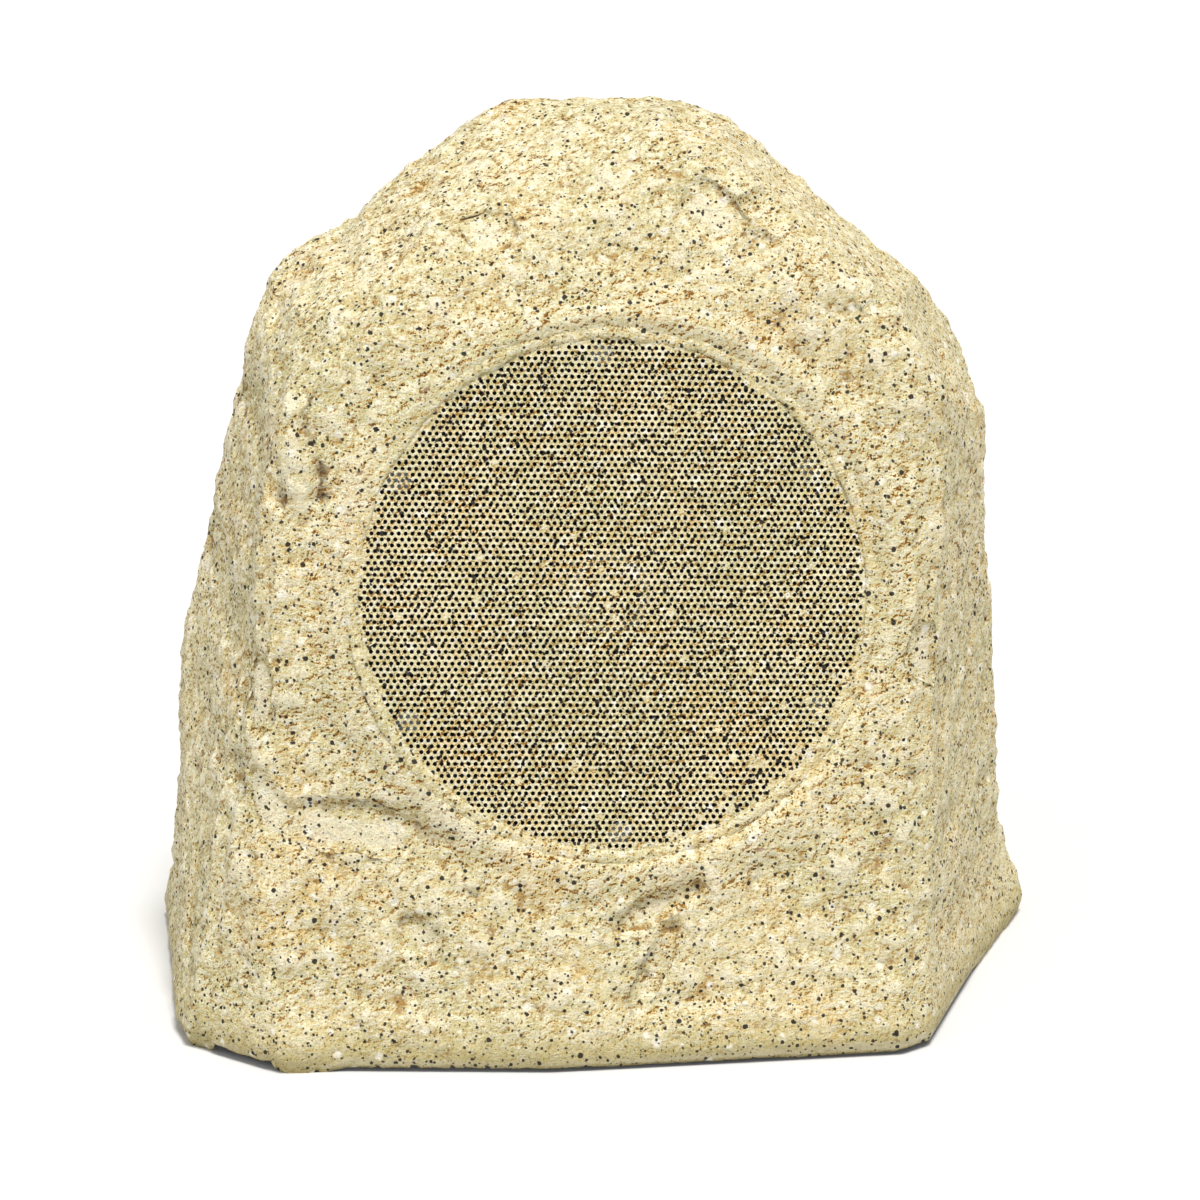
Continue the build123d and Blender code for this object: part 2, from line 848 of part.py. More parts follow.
nut_foot = gland_flange + nut_gap
with BuildPart() as gland_nut:
    with BuildSketch(gland_seat.offset(nut_foot)):
        RegularPolygon(gland_hex_r, 6)
    extrude(amount=spigot_h + seal_t - nut_foot)
    with BuildSketch(gland_seat.offset(spigot_h + seal_t)):
        Circle(spigot_r + gland_step)
    extrude(amount=nut_end_t, taper=nut_taper)
    with BuildSketch(gland_seat.offset(nut_foot)):
        Circle(spigot_r + gland_fit)
    extrude(amount=spigot_h + seal_t - nut_foot, mode=Mode.SUBTRACT)
    with BuildSketch(gland_seat.offset(spigot_h + seal_t)):
        Circle(cable_bore_r + gland_step)
    extrude(amount=nut_end_t, mode=Mode.SUBTRACT)

pieces = {
    "rock_shell": rock_shell.part,
    "grille": grille.part,
    "driver_gasket": driver_gasket.part,
    "woofer_basket": woofer_basket.part,
    "woofer_surround": woofer_surround.part,
    "woofer_cone": woofer_cone,
    "voice_coil_former": voice_coil_former,
    "voice_coil_winding": voice_coil_winding,
    "woofer_spider": woofer_spider,
    "top_plate": top_plate,
    "woofer_magnet": woofer_magnet,
    "pole_yoke": pole_yoke,
    "driver_screws": driver_screws.part,
    "tweeter_post": tweeter_post,
    "tweeter_housing": tweeter_housing,
    "tweeter_magnet": tweeter_magnet,
    "tweeter_dome": tweeter_dome,
    "tweeter_ring": tweeter_ring,
    "base_plate": base_plate.part,
    "base_gasket": base_gasket.part,
    "base_screws": base_screws.part,
    "crossover_board": crossover_board.part,
    "board_screws": board_screws.part,
    "crossover_inductor": crossover_inductor.part,
    "crossover_capacitor": crossover_capacitor.part,
    "crossover_resistor": crossover_resistor.part,
    "terminal_block": terminal_block.part,
    "gland_body": gland_body.part,
    "gland_locknut": gland_locknut.part,
    "gland_seal": gland_seal.part,
    "gland_nut": gland_nut.part,
}
for label, piece in pieces.items():
    piece.label = label
    export_step(piece, f"parts/{label}.step")
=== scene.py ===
# %% [markdown]
# # A garden loudspeaker moulded as a rock
# The real thing is a hollow shell of stone-filled resin, painted like sandstone, with a perforated
# steel dish pushed into its front and a small two-way driver behind it. The construction comes from
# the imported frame. This lesson gives it its looks: hewn and weathered stone, a fine perforated sheet,
# and plain working finishes for what lies inside.

# %% Load the frame and note the size that must not change
import json
import math

import bmesh
import bpy
import numpy as np
from mathutils import Matrix, Vector
from mathutils.bvhtree import BVHTree


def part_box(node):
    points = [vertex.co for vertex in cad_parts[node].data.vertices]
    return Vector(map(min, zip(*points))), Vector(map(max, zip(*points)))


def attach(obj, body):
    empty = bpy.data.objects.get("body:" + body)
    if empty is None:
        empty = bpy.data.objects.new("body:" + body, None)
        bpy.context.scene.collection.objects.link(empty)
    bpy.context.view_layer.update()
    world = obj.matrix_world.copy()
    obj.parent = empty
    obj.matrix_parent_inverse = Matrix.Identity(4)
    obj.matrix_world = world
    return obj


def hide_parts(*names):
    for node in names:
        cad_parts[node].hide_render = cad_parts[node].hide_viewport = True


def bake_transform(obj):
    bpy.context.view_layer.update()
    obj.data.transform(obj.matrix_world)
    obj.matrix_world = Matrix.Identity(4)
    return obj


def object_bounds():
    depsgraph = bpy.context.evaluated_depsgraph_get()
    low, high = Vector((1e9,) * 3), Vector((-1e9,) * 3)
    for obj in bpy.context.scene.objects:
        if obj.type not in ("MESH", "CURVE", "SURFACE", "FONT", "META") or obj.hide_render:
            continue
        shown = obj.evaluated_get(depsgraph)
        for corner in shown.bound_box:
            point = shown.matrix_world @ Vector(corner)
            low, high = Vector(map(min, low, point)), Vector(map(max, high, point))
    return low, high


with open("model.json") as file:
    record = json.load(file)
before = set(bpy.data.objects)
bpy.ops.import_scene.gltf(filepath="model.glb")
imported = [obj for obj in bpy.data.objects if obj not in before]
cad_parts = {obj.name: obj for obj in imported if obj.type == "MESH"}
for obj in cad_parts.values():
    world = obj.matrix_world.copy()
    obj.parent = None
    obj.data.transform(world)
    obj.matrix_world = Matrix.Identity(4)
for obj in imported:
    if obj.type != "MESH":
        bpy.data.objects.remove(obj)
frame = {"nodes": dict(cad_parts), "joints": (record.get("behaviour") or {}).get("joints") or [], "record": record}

MM = 0.001
nodes = frame["nodes"]
cad_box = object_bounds()
print("frame:", len(nodes), "nodes, box", [round(v / MM, 1) for corner in cad_box for v in corner])

# %% [markdown]
# ## The driver's axis
# Everything round the grille is measured from one line: the way the cone moves. The joint gives its
# direction, and the grille's own box gives its middle, because a tilted disc stays centred in its box.

# %% Measure the grille
axis_out = Vector(frame["joints"][0]["axis"]).normalized()
across = Vector((1, 0, 0))
up_face = axis_out.cross(across)
grille_low, grille_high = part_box("grille")
grille_mid = (grille_low + grille_high) / 2
grille_r = (grille_high.x - grille_low.x) / 2
tall = grille_high.z - grille_low.z
grille_deep = (tall - 2 * grille_r * up_face.z) / axis_out.z
grille_face = grille_mid + axis_out * grille_deep / 2
face_gap = 3.0 * MM
rock_face = grille_face + axis_out * face_gap
print("grille: radius", round(grille_r / MM, 2), "depth", round(grille_deep / MM, 2), "mm")

# %% [markdown]
# ## The studio
# A pale sweep of floor, one broad lamp high in front, a weak one low on the left and an even dome of
# light. Suns light every spot of the floor alike, so the floor stays even and only the rock's own
# soft shadow shows on it. The camera stands a little to the left and looks down a little.

# %% Camera
CAMERA_TURN = -8.0
CAMERA_RISE = 15.0
CAMERA_FAR = 1.25
SENSOR_WIDTH = 36.0
AIM = Vector((-7.5, -55.0, 134.0)) * MM
AIM_PIXEL = (601.0, 590.0)
FRAME_PIXELS = 1200
MM_PER_PIXEL = 0.32


def direction(azimuth, elevation):
    """The way to something at this azimuth from the front and this elevation, in degrees."""
    a = math.radians(azimuth)
    e = math.radians(elevation)
    return Vector((math.sin(a) * math.cos(e), -math.cos(a) * math.cos(e), math.sin(e)))


backwards = direction(CAMERA_TURN, CAMERA_RISE)
camera_data = bpy.data.cameras.new("studio_camera")
camera_data.sensor_width = SENSOR_WIDTH
camera_data.lens = SENSOR_WIDTH * CAMERA_FAR / (MM_PER_PIXEL * MM * FRAME_PIXELS)
camera_data.shift_x = (FRAME_PIXELS / 2 - AIM_PIXEL[0]) / FRAME_PIXELS
camera_data.shift_y = (AIM_PIXEL[1] - FRAME_PIXELS / 2) / FRAME_PIXELS
camera = bpy.data.objects.new("studio_camera", camera_data)
camera.location = AIM + backwards * CAMERA_FAR
camera.rotation_euler = (-backwards).to_track_quat("-Z", "Y").to_euler()
bpy.context.scene.collection.objects.link(camera)
bpy.context.scene.camera = camera
bpy.context.scene.view_settings.view_transform = "Standard"
print("camera: lens", round(camera_data.lens, 1), "mm")


# %% One small helper for every node tree, and two for colours and materials
def put(tree, kind, inputs=None, **settings):
    """Adds a node with its settings; an input is a value, a node or socket to link, or a list of these."""
    made = tree.nodes.new(kind)
    for name, value in settings.items():
        setattr(made, name, value)
    for key, value in (inputs or {}).items():
        for source in value if isinstance(value, list) else [value]:
            if isinstance(source, bpy.types.Node):
                source = source.outputs[0]
            if isinstance(source, bpy.types.NodeSocket):
                tree.links.new(source, made.inputs[key])
            else:
                made.inputs[key].default_value = source
    return made


def srgb(code):
    """A hex sRGB colour as linear RGBA."""
    parts = [int(code[i:i + 2], 16) / 255 for i in (1, 3, 5)]
    linear = [p / 12.92 if p <= 0.04045 else ((p + 0.055) / 1.055) ** 2.4 for p in parts]
    return (*linear, 1.0)


def blank_material(name):
    """A new material with an empty node tree."""
    material = bpy.data.materials.new(name)
    material.use_nodes = True
    material.node_tree.nodes.clear()
    return material


print("white paper in linear light:", [round(c, 3) for c in srgb("#DCDCDC")])

# %% Lamps and dome
# Each lamp: azimuth, elevation, strength, spread and colour
LAMPS = {
    "key_lamp": (12, 72, 3.3, 16, "#FFFDFA"),
    "fill_lamp": (-50, 30, 0.30, 60, "#FFFFFF"),
}
DOME_LIGHT = 0.42
DOME_SEEN = 1.0

for name, (azimuth, elevation, strength, spread, colour) in LAMPS.items():
    lamp = bpy.data.lights.new(name, "SUN")
    lamp.energy = strength
    lamp.angle = math.radians(spread)
    lamp.color = srgb(colour)[:3]
    holder = bpy.data.objects.new(name, lamp)
    holder.rotation_euler = direction(azimuth, elevation).to_track_quat("Z", "Y").to_euler()
    bpy.context.scene.collection.objects.link(holder)


def seen_share(tree):
    """The share of rays that show a thing itself: to the eye, in a mirror or through glass."""
    path = put(tree, "ShaderNodeLightPath")
    seen = path.outputs["Is Camera Ray"]
    for ray in ("Is Glossy Ray", "Is Transmission Ray"):
        seen = put(tree, "ShaderNodeMath", {0: seen, 1: path.outputs[ray]}, operation="MAXIMUM")
    return seen


world = bpy.data.worlds.new("studio_dome")
bpy.context.scene.world = world
world.use_nodes = True
sky = world.node_tree
sky.nodes.clear()
level = put(sky, "ShaderNodeMix", {0: seen_share(sky), 2: DOME_LIGHT, 3: DOME_SEEN}, data_type="FLOAT")
dome = put(sky, "ShaderNodeBackground", {"Color": srgb("#FFFFFF"), "Strength": level})
put(sky, "ShaderNodeOutputWorld", {"Surface": dome})
print("lamps:", *LAMPS, "and dome")

# %% Floor
FLOOR_HALF = 6.0
FLOOR_GLOW = 0.03
CORNERS = [(-1, -1), (1, -1), (1, 1), (-1, 1)]

floor_mesh = bpy.data.meshes.new("studio_floor")
spots = [(x * FLOOR_HALF, y * FLOOR_HALF, cad_box[0].z) for x, y in CORNERS]
floor_mesh.from_pydata(spots, [], [(0, 1, 2, 3)])
floor = bpy.data.objects.new("studio_floor", floor_mesh)
bpy.context.scene.collection.objects.link(floor)
# Matt paper scatters light evenly; the faint glow keeps it white to the eye without lighting the rock
paper = blank_material("white_paper_sweep")
tree = paper.node_tree
lift = put(tree, "ShaderNodeMath", {0: seen_share(tree), 1: FLOOR_GLOW}, operation="MULTIPLY")
matt = put(tree, "ShaderNodeBsdfDiffuse", {"Color": srgb("#DCDCDC")})
glow = put(tree, "ShaderNodeEmission", {"Color": srgb("#FFFFFF"), "Strength": lift})
both = put(tree, "ShaderNodeAddShader", {0: matt, 1: glow})
put(tree, "ShaderNodeOutputMaterial", {"Surface": both})
floor_mesh.materials.append(paper)
print("floor:", 2 * FLOOR_HALF, "m square")

# %% [markdown]
# ## The stone finish
# Stone-filled resin is matt and dry. It is sprayed cream, and ochre and brown are washed over it so
# that they stay in hollows. Under small bumps the ochre and brown are partly wash and partly painted
# shade, and the pale on the tops of the bumps is painted highlight. At the end pale flecks and three
# sizes of black-brown specks are flicked over everything. The finish is built in that order. It comes
# before the shapes, because each tree that makes a shape sets its material.

# %% The coat's patches, washes and specks
# Patches of noise: size in mm, detail, roughness, and the values that become 0 and 1
PATCHES = {
    "drift": (45, 3.0, 0.55, 0.36, 0.64),
    "warm": (24, 4.0, 0.6, 0.5, 0.7),
    "salt": (5.5, 5.0, 0.7, 0.5, 0.66),
    "green": (3.2, 4.0, 0.65, 0.52, 0.68),
    "busy": (19, 3.0, 0.6, 0.46, 0.66),
    "stain": (4, 4.0, 0.7, 0.5, 0.6),
    "dark": (5, 4.0, 0.6, 0.42, 0.58),
}
# Places for the layers, some of them painted shade and highlight: a measure, and its values that become 0 and 1
PLACES = {
    "under a bump": ("slope", 0.035, 0.055),
    "close under a bump": ("slope", 0.06, 0.08),
    "top of a bump": ("slope", -0.02, -0.06),
    # The foot share sets painted shade: the coat darker and greener towards the floor
    "foot": ("height", 16 * MM, 4 * MM),
    "hollow": ("hollow", 0.25, 0.6),
    "deep hollow": ("hollow", 0.6, 1.4),
    "swell": ("hollow", -0.15, -0.6),
}
# Flicked paint: spacing, radius and softness of its dots in mm, and whether the spacing can change
DOTS = {
    "pale fleck": (6.5, 1.0, 0.3, False),
    "fine speck": (1.7, 0.25, 0.05, True),
    "speck": (2.2, 0.40, 0.05, True),
    "coarse speck": (4.0, 0.58, 0.06, True),
}
# The layers from the cream up: colour, what limits it, and its strength
LAYERS = [
    ("#D8B672", ["warm"], 0.55),
    ("#F3EAC8", ["salt"], 0.8),
    ("#B9AD7E", ["green"], 0.7),
    # Ochre, and brown close under small bumps: partly wash, partly painted shade from light above
    ("#BC9040", ["under a bump", "worked"], 0.95),
    ("#6A4314", ["close under a bump", "worked"], 0.95),
    # Pale on the tops of small bumps: painted highlight from light above
    ("#F4EDD2", ["top of a bump"], 0.85),
    # Darker and greener towards the foot: painted shade
    ("#A99C68", ["foot"], 0.7),
    ("#A8803F", ["hollow", "stain"], 0.8),
    ("#4E3213", ["deep hollow", "dark"], 0.85),
    ("#F0E9D0", ["swell"], 0.5),
    ("#F1ECDA", ["pale fleck"], 0.85),
    ("#3A3026", ["fine speck"], 0.85),
    ("#2C251F", ["speck"], 0.95),
    ("#241F1B", ["coarse speck"], 0.97),
]
CREAM_GREEN = "#C9C190"
CREAM_WARM = "#DCD0A1"
BUMP_SIZE = 3.0
GRIT_SIZE = 1.2
WASH_AND_SHADE_SHIFT = (0.15 * MM, 0.0, -0.45 * MM)
DOT_BEND = 1.0 * MM
DOT_BEND_SIZE = 1.3
print("coat:", len(LAYERS), "layers over the cream")


# %% Stone finish
def stone_finish(name, speck_room):
    """Sprayed stone-grit coat: matt cream, washes, painted shade and highlight at bumps, specks spaced times
    speck_room.
    """
    material = blank_material(name)
    tree = material.node_tree
    where = put(tree, "ShaderNodeTexCoord").outputs["Object"]

    # Bumps and grit as heights; a look a little below each spot tells what lies under a bump, where
    # shade is painted, and what lies on its top, where highlight is painted
    below = put(tree, "ShaderNodeVectorMath", {0: where, 1: WASH_AND_SHADE_SHIFT}, operation="ADD")
    bumps, bumps_below, grit = [
        put(
            tree, "ShaderNodeTexNoise",
            {"Vector": spot, "Scale": 1 / (size * MM), "Detail": 3.0, "Roughness": roughness},
        )
        for spot, size, roughness in (
            (where, BUMP_SIZE, 0.6), (below, BUMP_SIZE, 0.6), (where, GRIT_SIZE, 0.65),
        )
    ]
    slope = put(tree, "ShaderNodeMath", {0: bumps_below, 1: bumps}, operation="SUBTRACT")

    # Patches and places as shares from 0 to 1; the wash and painted shade under bumps are fuller in busy patches
    # and by the grille
    shares = {}
    for key, (size, detail, roughness, low, high) in PATCHES.items():
        cloud = put(
            tree, "ShaderNodeTexNoise",
            {"Vector": where, "Scale": 1 / (size * MM), "Detail": detail, "Roughness": roughness},
        )
        shares[key] = put(tree, "ShaderNodeMapRange", {"Value": cloud, "From Min": low, "From Max": high})
    felt = {"slope": slope, "height": put(tree, "ShaderNodeSeparateXYZ", {0: where}).outputs["Z"]}
    for key in ("hollow", "band"):
        felt[key] = put(tree, "ShaderNodeAttribute", attribute_name=key).outputs["Fac"]
    for key, (measure, low, high) in PLACES.items():
        shares[key] = put(
            tree, "ShaderNodeMapRange", {"Value": felt[measure], "From Min": low, "From Max": high}
        )
    worked = put(tree, "ShaderNodeMath", {0: shares["busy"], 1: felt["band"]}, operation="MAXIMUM")
    shares["worked"] = put(tree, "ShaderNodeMapRange", {"Value": worked, "To Min": 0.5, "To Max": 1.0})

    # Flicked dots: cells bent out of round, each with a size of its own
    bend = {"Vector": where, "Scale": 1 / (DOT_BEND_SIZE * MM), "Detail": 2.0}
    bend = put(tree, "ShaderNodeTexNoise", bend).outputs["Color"]
    bend = put(tree, "ShaderNodeVectorMath", {0: bend, "Scale": DOT_BEND}, operation="SCALE")
    bent = put(tree, "ShaderNodeVectorMath", {0: where, 1: bend}, operation="ADD")
    for key, (spacing, radius, soft, changes) in DOTS.items():
        if changes:
            spacing *= speck_room
        spread = {"Vector": bent, "Scale": 1 / (spacing * MM)}
        cells = put(tree, "ShaderNodeTexVoronoi", spread, feature="F1")
        pick = put(tree, "ShaderNodeSeparateColor", {0: cells.outputs["Color"]})
        grow = put(tree, "ShaderNodeMapRange", {"Value": pick, "To Min": 1.35, "To Max": 0.65})
        far = put(tree, "ShaderNodeMath", {0: cells.outputs["Distance"], 1: grow}, operation="MULTIPLY")
        shares[key] = put(
            tree, "ShaderNodeMapRange",
            {"Value": far, "From Min": (radius + soft) / spacing, "From Max": (radius - soft) / spacing},
        )

    # The layers, one over the other
    cream = {0: shares["drift"], 6: srgb(CREAM_GREEN), 7: srgb(CREAM_WARM)}
    colour = put(tree, "ShaderNodeMix", cream, data_type="RGBA").outputs[2]
    for code, limits, strength in LAYERS:
        share = shares[limits[0]]
        for factor in [shares[key] for key in limits[1:]] + [strength]:
            share = put(tree, "ShaderNodeMath", {0: share, 1: factor}, operation="MULTIPLY")
        mixed = put(tree, "ShaderNodeMix", {0: share, 6: colour, 7: srgb(code)}, data_type="RGBA")
        colour = mixed.outputs[2]

    # A dry, gritty skin: two sizes of bumps and hardly any shine
    bump = put(tree, "ShaderNodeBump", {"Strength": 1.0, "Distance": 2.1 * MM, "Height": bumps})
    bump = put(
        tree, "ShaderNodeBump", {"Strength": 0.8, "Distance": 0.8 * MM, "Height": grit, "Normal": bump}
    )
    rough = put(tree, "ShaderNodeMapRange", {"Value": grit, "To Min": 0.72, "To Max": 0.95})
    coat = put(
        tree, "ShaderNodeBsdfPrincipled",
        {"Base Color": colour, "Roughness": rough, "IOR": 1.5, "Normal": bump, "Specular IOR Level": 0.3},
    )
    put(tree, "ShaderNodeOutputMaterial", {"Surface": coat})
    return material


stone = stone_finish("sprayed_stone_grit_resin", 1.0)
print("stone finish:", len(stone.node_tree.nodes), "nodes")

# %% [markdown]
# ## A skin for the rock
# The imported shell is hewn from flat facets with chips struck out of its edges. A cast rock is softer:
# its edges are worn round and its faces swell and pit. The skin starts as the shell's own outside. The
# openings are plugged, the whole is remeshed to small even quads, and only the outermost of the
# resulting skins is kept. Later the weathered skin is intersected with the shell, so the cup, the
# cavity, the bosses and the flat rim underneath keep exactly the form of the construction.

# %% Copy the shell
COPY_WELD = 0.002 * MM


def merged_copy(name):
    """A welded copy of a node's mesh as a bmesh."""
    bm = bmesh.new()
    bm.from_mesh(nodes[name].data)
    bmesh.ops.remove_doubles(bm, verts=bm.verts, dist=COPY_WELD)
    return bm


def new_piece(name, bm):
    """Turns a bmesh into an object at the origin."""
    mesh = bpy.data.meshes.new(name)
    bm.to_mesh(mesh)
    bm.free()
    piece = bpy.data.objects.new(name, mesh)
    bpy.context.scene.collection.objects.link(piece)
    return piece


def applied(piece):
    """Freezes a piece's modifiers into a plain mesh."""
    dg = bpy.context.evaluated_depsgraph_get()
    frozen = bpy.data.meshes.new_from_object(piece.evaluated_get(dg))
    piece.modifiers.clear()
    old = piece.data
    piece.data = frozen
    frozen.name = piece.name
    bpy.data.meshes.remove(old)


def coated(piece, material):
    """Gives all faces of a piece one material."""
    piece.data.materials.clear()
    piece.data.materials.append(material)
    piece.data.polygons.foreach_set("material_index", [0] * len(piece.data.polygons))


def counted(mesh):
    """How many triangles a mesh makes and how many of its edges are open, as text."""
    bm = bmesh.new()
    bm.from_mesh(mesh)
    triangles = sum(len(f.verts) - 2 for f in bm.faces)
    loose = sum(1 for e in bm.edges if len(e.link_faces) != 2)
    bm.free()
    return f"{triangles} triangles, {loose} open edges"


shell_bm = merged_copy("rock_shell")
shell_tree = BVHTree.FromBMesh(shell_bm)
shell = new_piece("hewn_shell", shell_bm)
shell.hide_render = True
shell.hide_viewport = True
print("shell copy:", counted(shell.data))

# %% Plug the openings and remesh
CUP_WALL = 2.0 * MM
PLUG_DEEP = 12 * MM
LID_LEVELS = (1 * MM, 7 * MM)
LID_GROWTH = 1.012
PLATE_RIM = 4 * MM
GLAND_PLUG_R = 8 * MM
SKIN_STEP = 1.8 * MM


def turned_to_axis(depth):
    """The matrix that sets a flat thing square on the driver's axis, this deep behind the rock's face."""
    m = Matrix((across, up_face, axis_out)).transposed().to_4x4()
    m.translation = rock_face - axis_out * depth
    return m


plate_low, plate_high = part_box("base_plate")
plate_mid = (plate_low + plate_high) / 2
gland_low, gland_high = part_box("gland_body")
gland_mid = (gland_low + gland_high) / 2

plugged = merged_copy("rock_shell")
cup_plug_r = grille_r + CUP_WALL
bmesh.ops.create_cone(
    plugged, cap_ends=True, segments=96, radius1=cup_plug_r, radius2=cup_plug_r, depth=PLUG_DEEP,
    matrix=turned_to_axis(face_gap + PLUG_DEEP / 2),
)
plate = merged_copy("base_plate")
rim = [v.co for v in plate.verts if v.co.z < plate_low.z + PLATE_RIM]
lid = []
for level_z in LID_LEVELS:
    for p in rim:
        x = plate_mid.x + (p.x - plate_mid.x) * LID_GROWTH
        y = plate_mid.y + (p.y - plate_mid.y) * LID_GROWTH
        lid.append(plugged.verts.new((x, y, level_z)))
bmesh.ops.convex_hull(plugged, input=lid)
plate.free()
bmesh.ops.create_cone(
    plugged, cap_ends=True, segments=32, radius1=GLAND_PLUG_R, radius2=GLAND_PLUG_R, depth=PLUG_DEEP,
    matrix=Matrix.Translation(gland_mid) @ Matrix.Rotation(math.radians(90), 4, "X"),
)
skin = new_piece("cast_stone_shell", plugged)
remesh = skin.modifiers.new("even_quads", "REMESH")
remesh.mode = "VOXEL"
remesh.voxel_size = SKIN_STEP
applied(skin)
print("remeshed:", len(skin.data.polygons), "quads")


# %% Keep the outermost skin
def keep_tallest(mesh):
    """Deletes all but the tallest connected part, and says how many parts there were."""
    bm = bmesh.new()
    bm.from_mesh(mesh)
    left = set(bm.verts)
    islands = []
    while left:
        reached = [left.pop()]
        island = []
        while reached:
            v = reached.pop()
            island.append(v)
            for e in v.link_edges:
                w = e.other_vert(v)
                if w in left:
                    left.remove(w)
                    reached.append(w)
        zs = [v.co.z for v in island]
        islands.append((max(zs) - min(zs), island))
    islands.sort(key=lambda pair: -pair[0])
    for _, island in islands[1:]:
        bmesh.ops.delete(bm, geom=island, context="VERTS")
    bm.to_mesh(mesh)
    bm.free()
    return len(islands)


print("skins found:", keep_tallest(skin.data), "kept:", len(skin.data.vertices), "points")

# %% [markdown]
# ## Where the stone may give way
# Weathering only ever takes stone away, so the skin moves inwards. Four measures say how far: a calm
# share that fades out at the grille's lip, at the foot and round the cable gland, the wall left behind
# each point, marks struck into the front, and the roll of the lip itself. They are
# worked out for all points at once and kept as attributes that the next step reads. The foot is
# tucked in a little, as a cast foot is where it leaves its mould.

# %% Round the edges and stay inside the shell
EDGE_WEAR = 0.5
EDGE_WEAR_ROUNDS = 7
LEAST_DEPTH = 0.4 * MM
FACING = 0.2
GLAND_CLEAR = 9 * MM
FOOT_SOLE = 1.6 * MM
FOOT_SINK = 3 * MM
FOOT_TALL = 8.0 * MM
FOOT_TUCK = 0.028

wear = skin.modifiers.new("worn_edges", "SMOOTH")
wear.factor = EDGE_WEAR
wear.iterations = EDGE_WEAR_ROUNDS
applied(skin)


def read_points(mesh):
    """The points and outward directions of a mesh as two arrays."""
    points = np.empty(len(mesh.vertices) * 3)
    mesh.vertices.foreach_get("co", points)
    normals = np.empty(len(mesh.vertices) * 3)
    mesh.vertex_normals.foreach_get("vector", normals)
    return points.reshape(-1, 3), normals.reshape(-1, 3)


def round_axis(points):
    """How deep points lie behind the rock's face, and their radius and angle round the driver's axis."""
    from_face = points - np.array(rock_face)
    side = from_face @ np.array(across)
    rise = from_face @ np.array(up_face)
    return -(from_face @ np.array(axis_out)), np.hypot(side, rise), np.arctan2(rise, side)


def round_gland(points):
    """The distance of points from the cable gland's axis."""
    return np.hypot(points[:, 0] - gland_mid.x, points[:, 2] - gland_mid.z)


points, normals = read_points(skin.data)
_, radius, _ = round_axis(points)
over_cup = (radius < grille_r) & (normals @ np.array(axis_out) > FACING)
over_gland = (round_gland(points) < GLAND_CLEAR) & (points[:, 1] > 0)
foot = points[:, 2] < FOOT_SOLE
pulled = 0
for i in np.flatnonzero(~(over_cup | over_gland | foot)):
    spot, way, _, _ = shell_tree.find_nearest(points[i])
    if (Vector(points[i]) - spot).dot(way) > -LEAST_DEPTH:
        points[i] = spot - way * LEAST_DEPTH
        pulled += 1
points[foot, 2] = -FOOT_SINK
tuck = FOOT_TUCK * np.clip(1 - points[:, 2] / FOOT_TALL, 0, 1) ** 2
base_mid = np.array((plate_mid.x, plate_mid.y))
points[:, :2] = base_mid + (points[:, :2] - base_mid) * (1 - tuck)[:, None]
skin.data.vertices.foreach_set("co", points.ravel())
skin.data.update()
print("pulled inside:", pulled, "of", len(points), "points")

# %% Measure the calm share and the wall left
PROBE_MM = 0.8
PROBE_REACH = 40 * MM
WALL_KEPT = 1.6 * MM
LEAST_ROOM = 0.2 * MM
FRONT_DEEP = 25 * MM
CALM_LIP = (83 * MM, 98 * MM)
CALM_FOOT = (3 * MM, 24 * MM)
CALM_FOOT_LEAST = 0.25
CALM_GLAND = (15 * MM, 26 * MM)
GLAND_REGION = 30 * MM


def ramp(value, low, high):
    """A smooth step from 0 at low to 1 at high."""
    t = np.clip((value - low) / (high - low), 0, 1)
    return t * t * (3 - 2 * t)


points, normals = read_points(skin.data)
wall = np.empty(len(points))
for i, (p, n) in enumerate(zip(points, normals)):
    start = Vector(p) - Vector(n) * PROBE_MM * MM
    hit = shell_tree.ray_cast(start, -Vector(n), PROBE_REACH)
    wall[i] = hit[3] + PROBE_MM * MM if hit[0] else PROBE_REACH
room = np.maximum(wall - WALL_KEPT, LEAST_ROOM)

sunk, radius, clock = round_axis(points)
front = (normals @ np.array(axis_out) > FACING) & (sunk < FRONT_DEEP)
gland_r = round_gland(points)
at_gland = (points[:, 1] > 0) & (gland_r < GLAND_REGION)

calm = np.where(front, ramp(radius, *CALM_LIP), 1.0)
calm *= CALM_FOOT_LEAST + (1 - CALM_FOOT_LEAST) * ramp(points[:, 2], *CALM_FOOT)
calm = np.where(at_gland, calm * ramp(gland_r, *CALM_GLAND), calm)
print("wall left: least", round(float(room.min() / MM), 2), "mm; calm points", int((calm < 0.5).sum()))

# %% Roll the lip and strike the marks
LIP_ROLL = 1.2 * MM
LIP_START = 82.0 * MM
LIP_END = 92.0 * MM
LIP_FALL = 1.5
LIP_MEAN = 0.66
LIP_SWING = 0.34
UPPER_LEFT = math.radians(135)
MARK_FALL = 2.0
MARK_CALM_LEAST = 0.4
FRONT_WAY = (0.0, -1.0, 0.25)
FRONT_LEAST = 0.05
SHARP_LIP = (-0.8 * MM, 1.2 * MM)
GLAND_SEAT = (14 * MM, 17 * MM)
GLAND_PROUD = 0.6 * MM
BAND_IN = (80 * MM, 84 * MM)
BAND_OUT = (92 * MM, 108 * MM)

lip_share = np.where(front, (1 - ramp(radius, LIP_START, LIP_END)) ** LIP_FALL, 0.0)
carved = LIP_ROLL * lip_share * (LIP_MEAN - LIP_SWING * np.cos(clock - UPPER_LEFT))

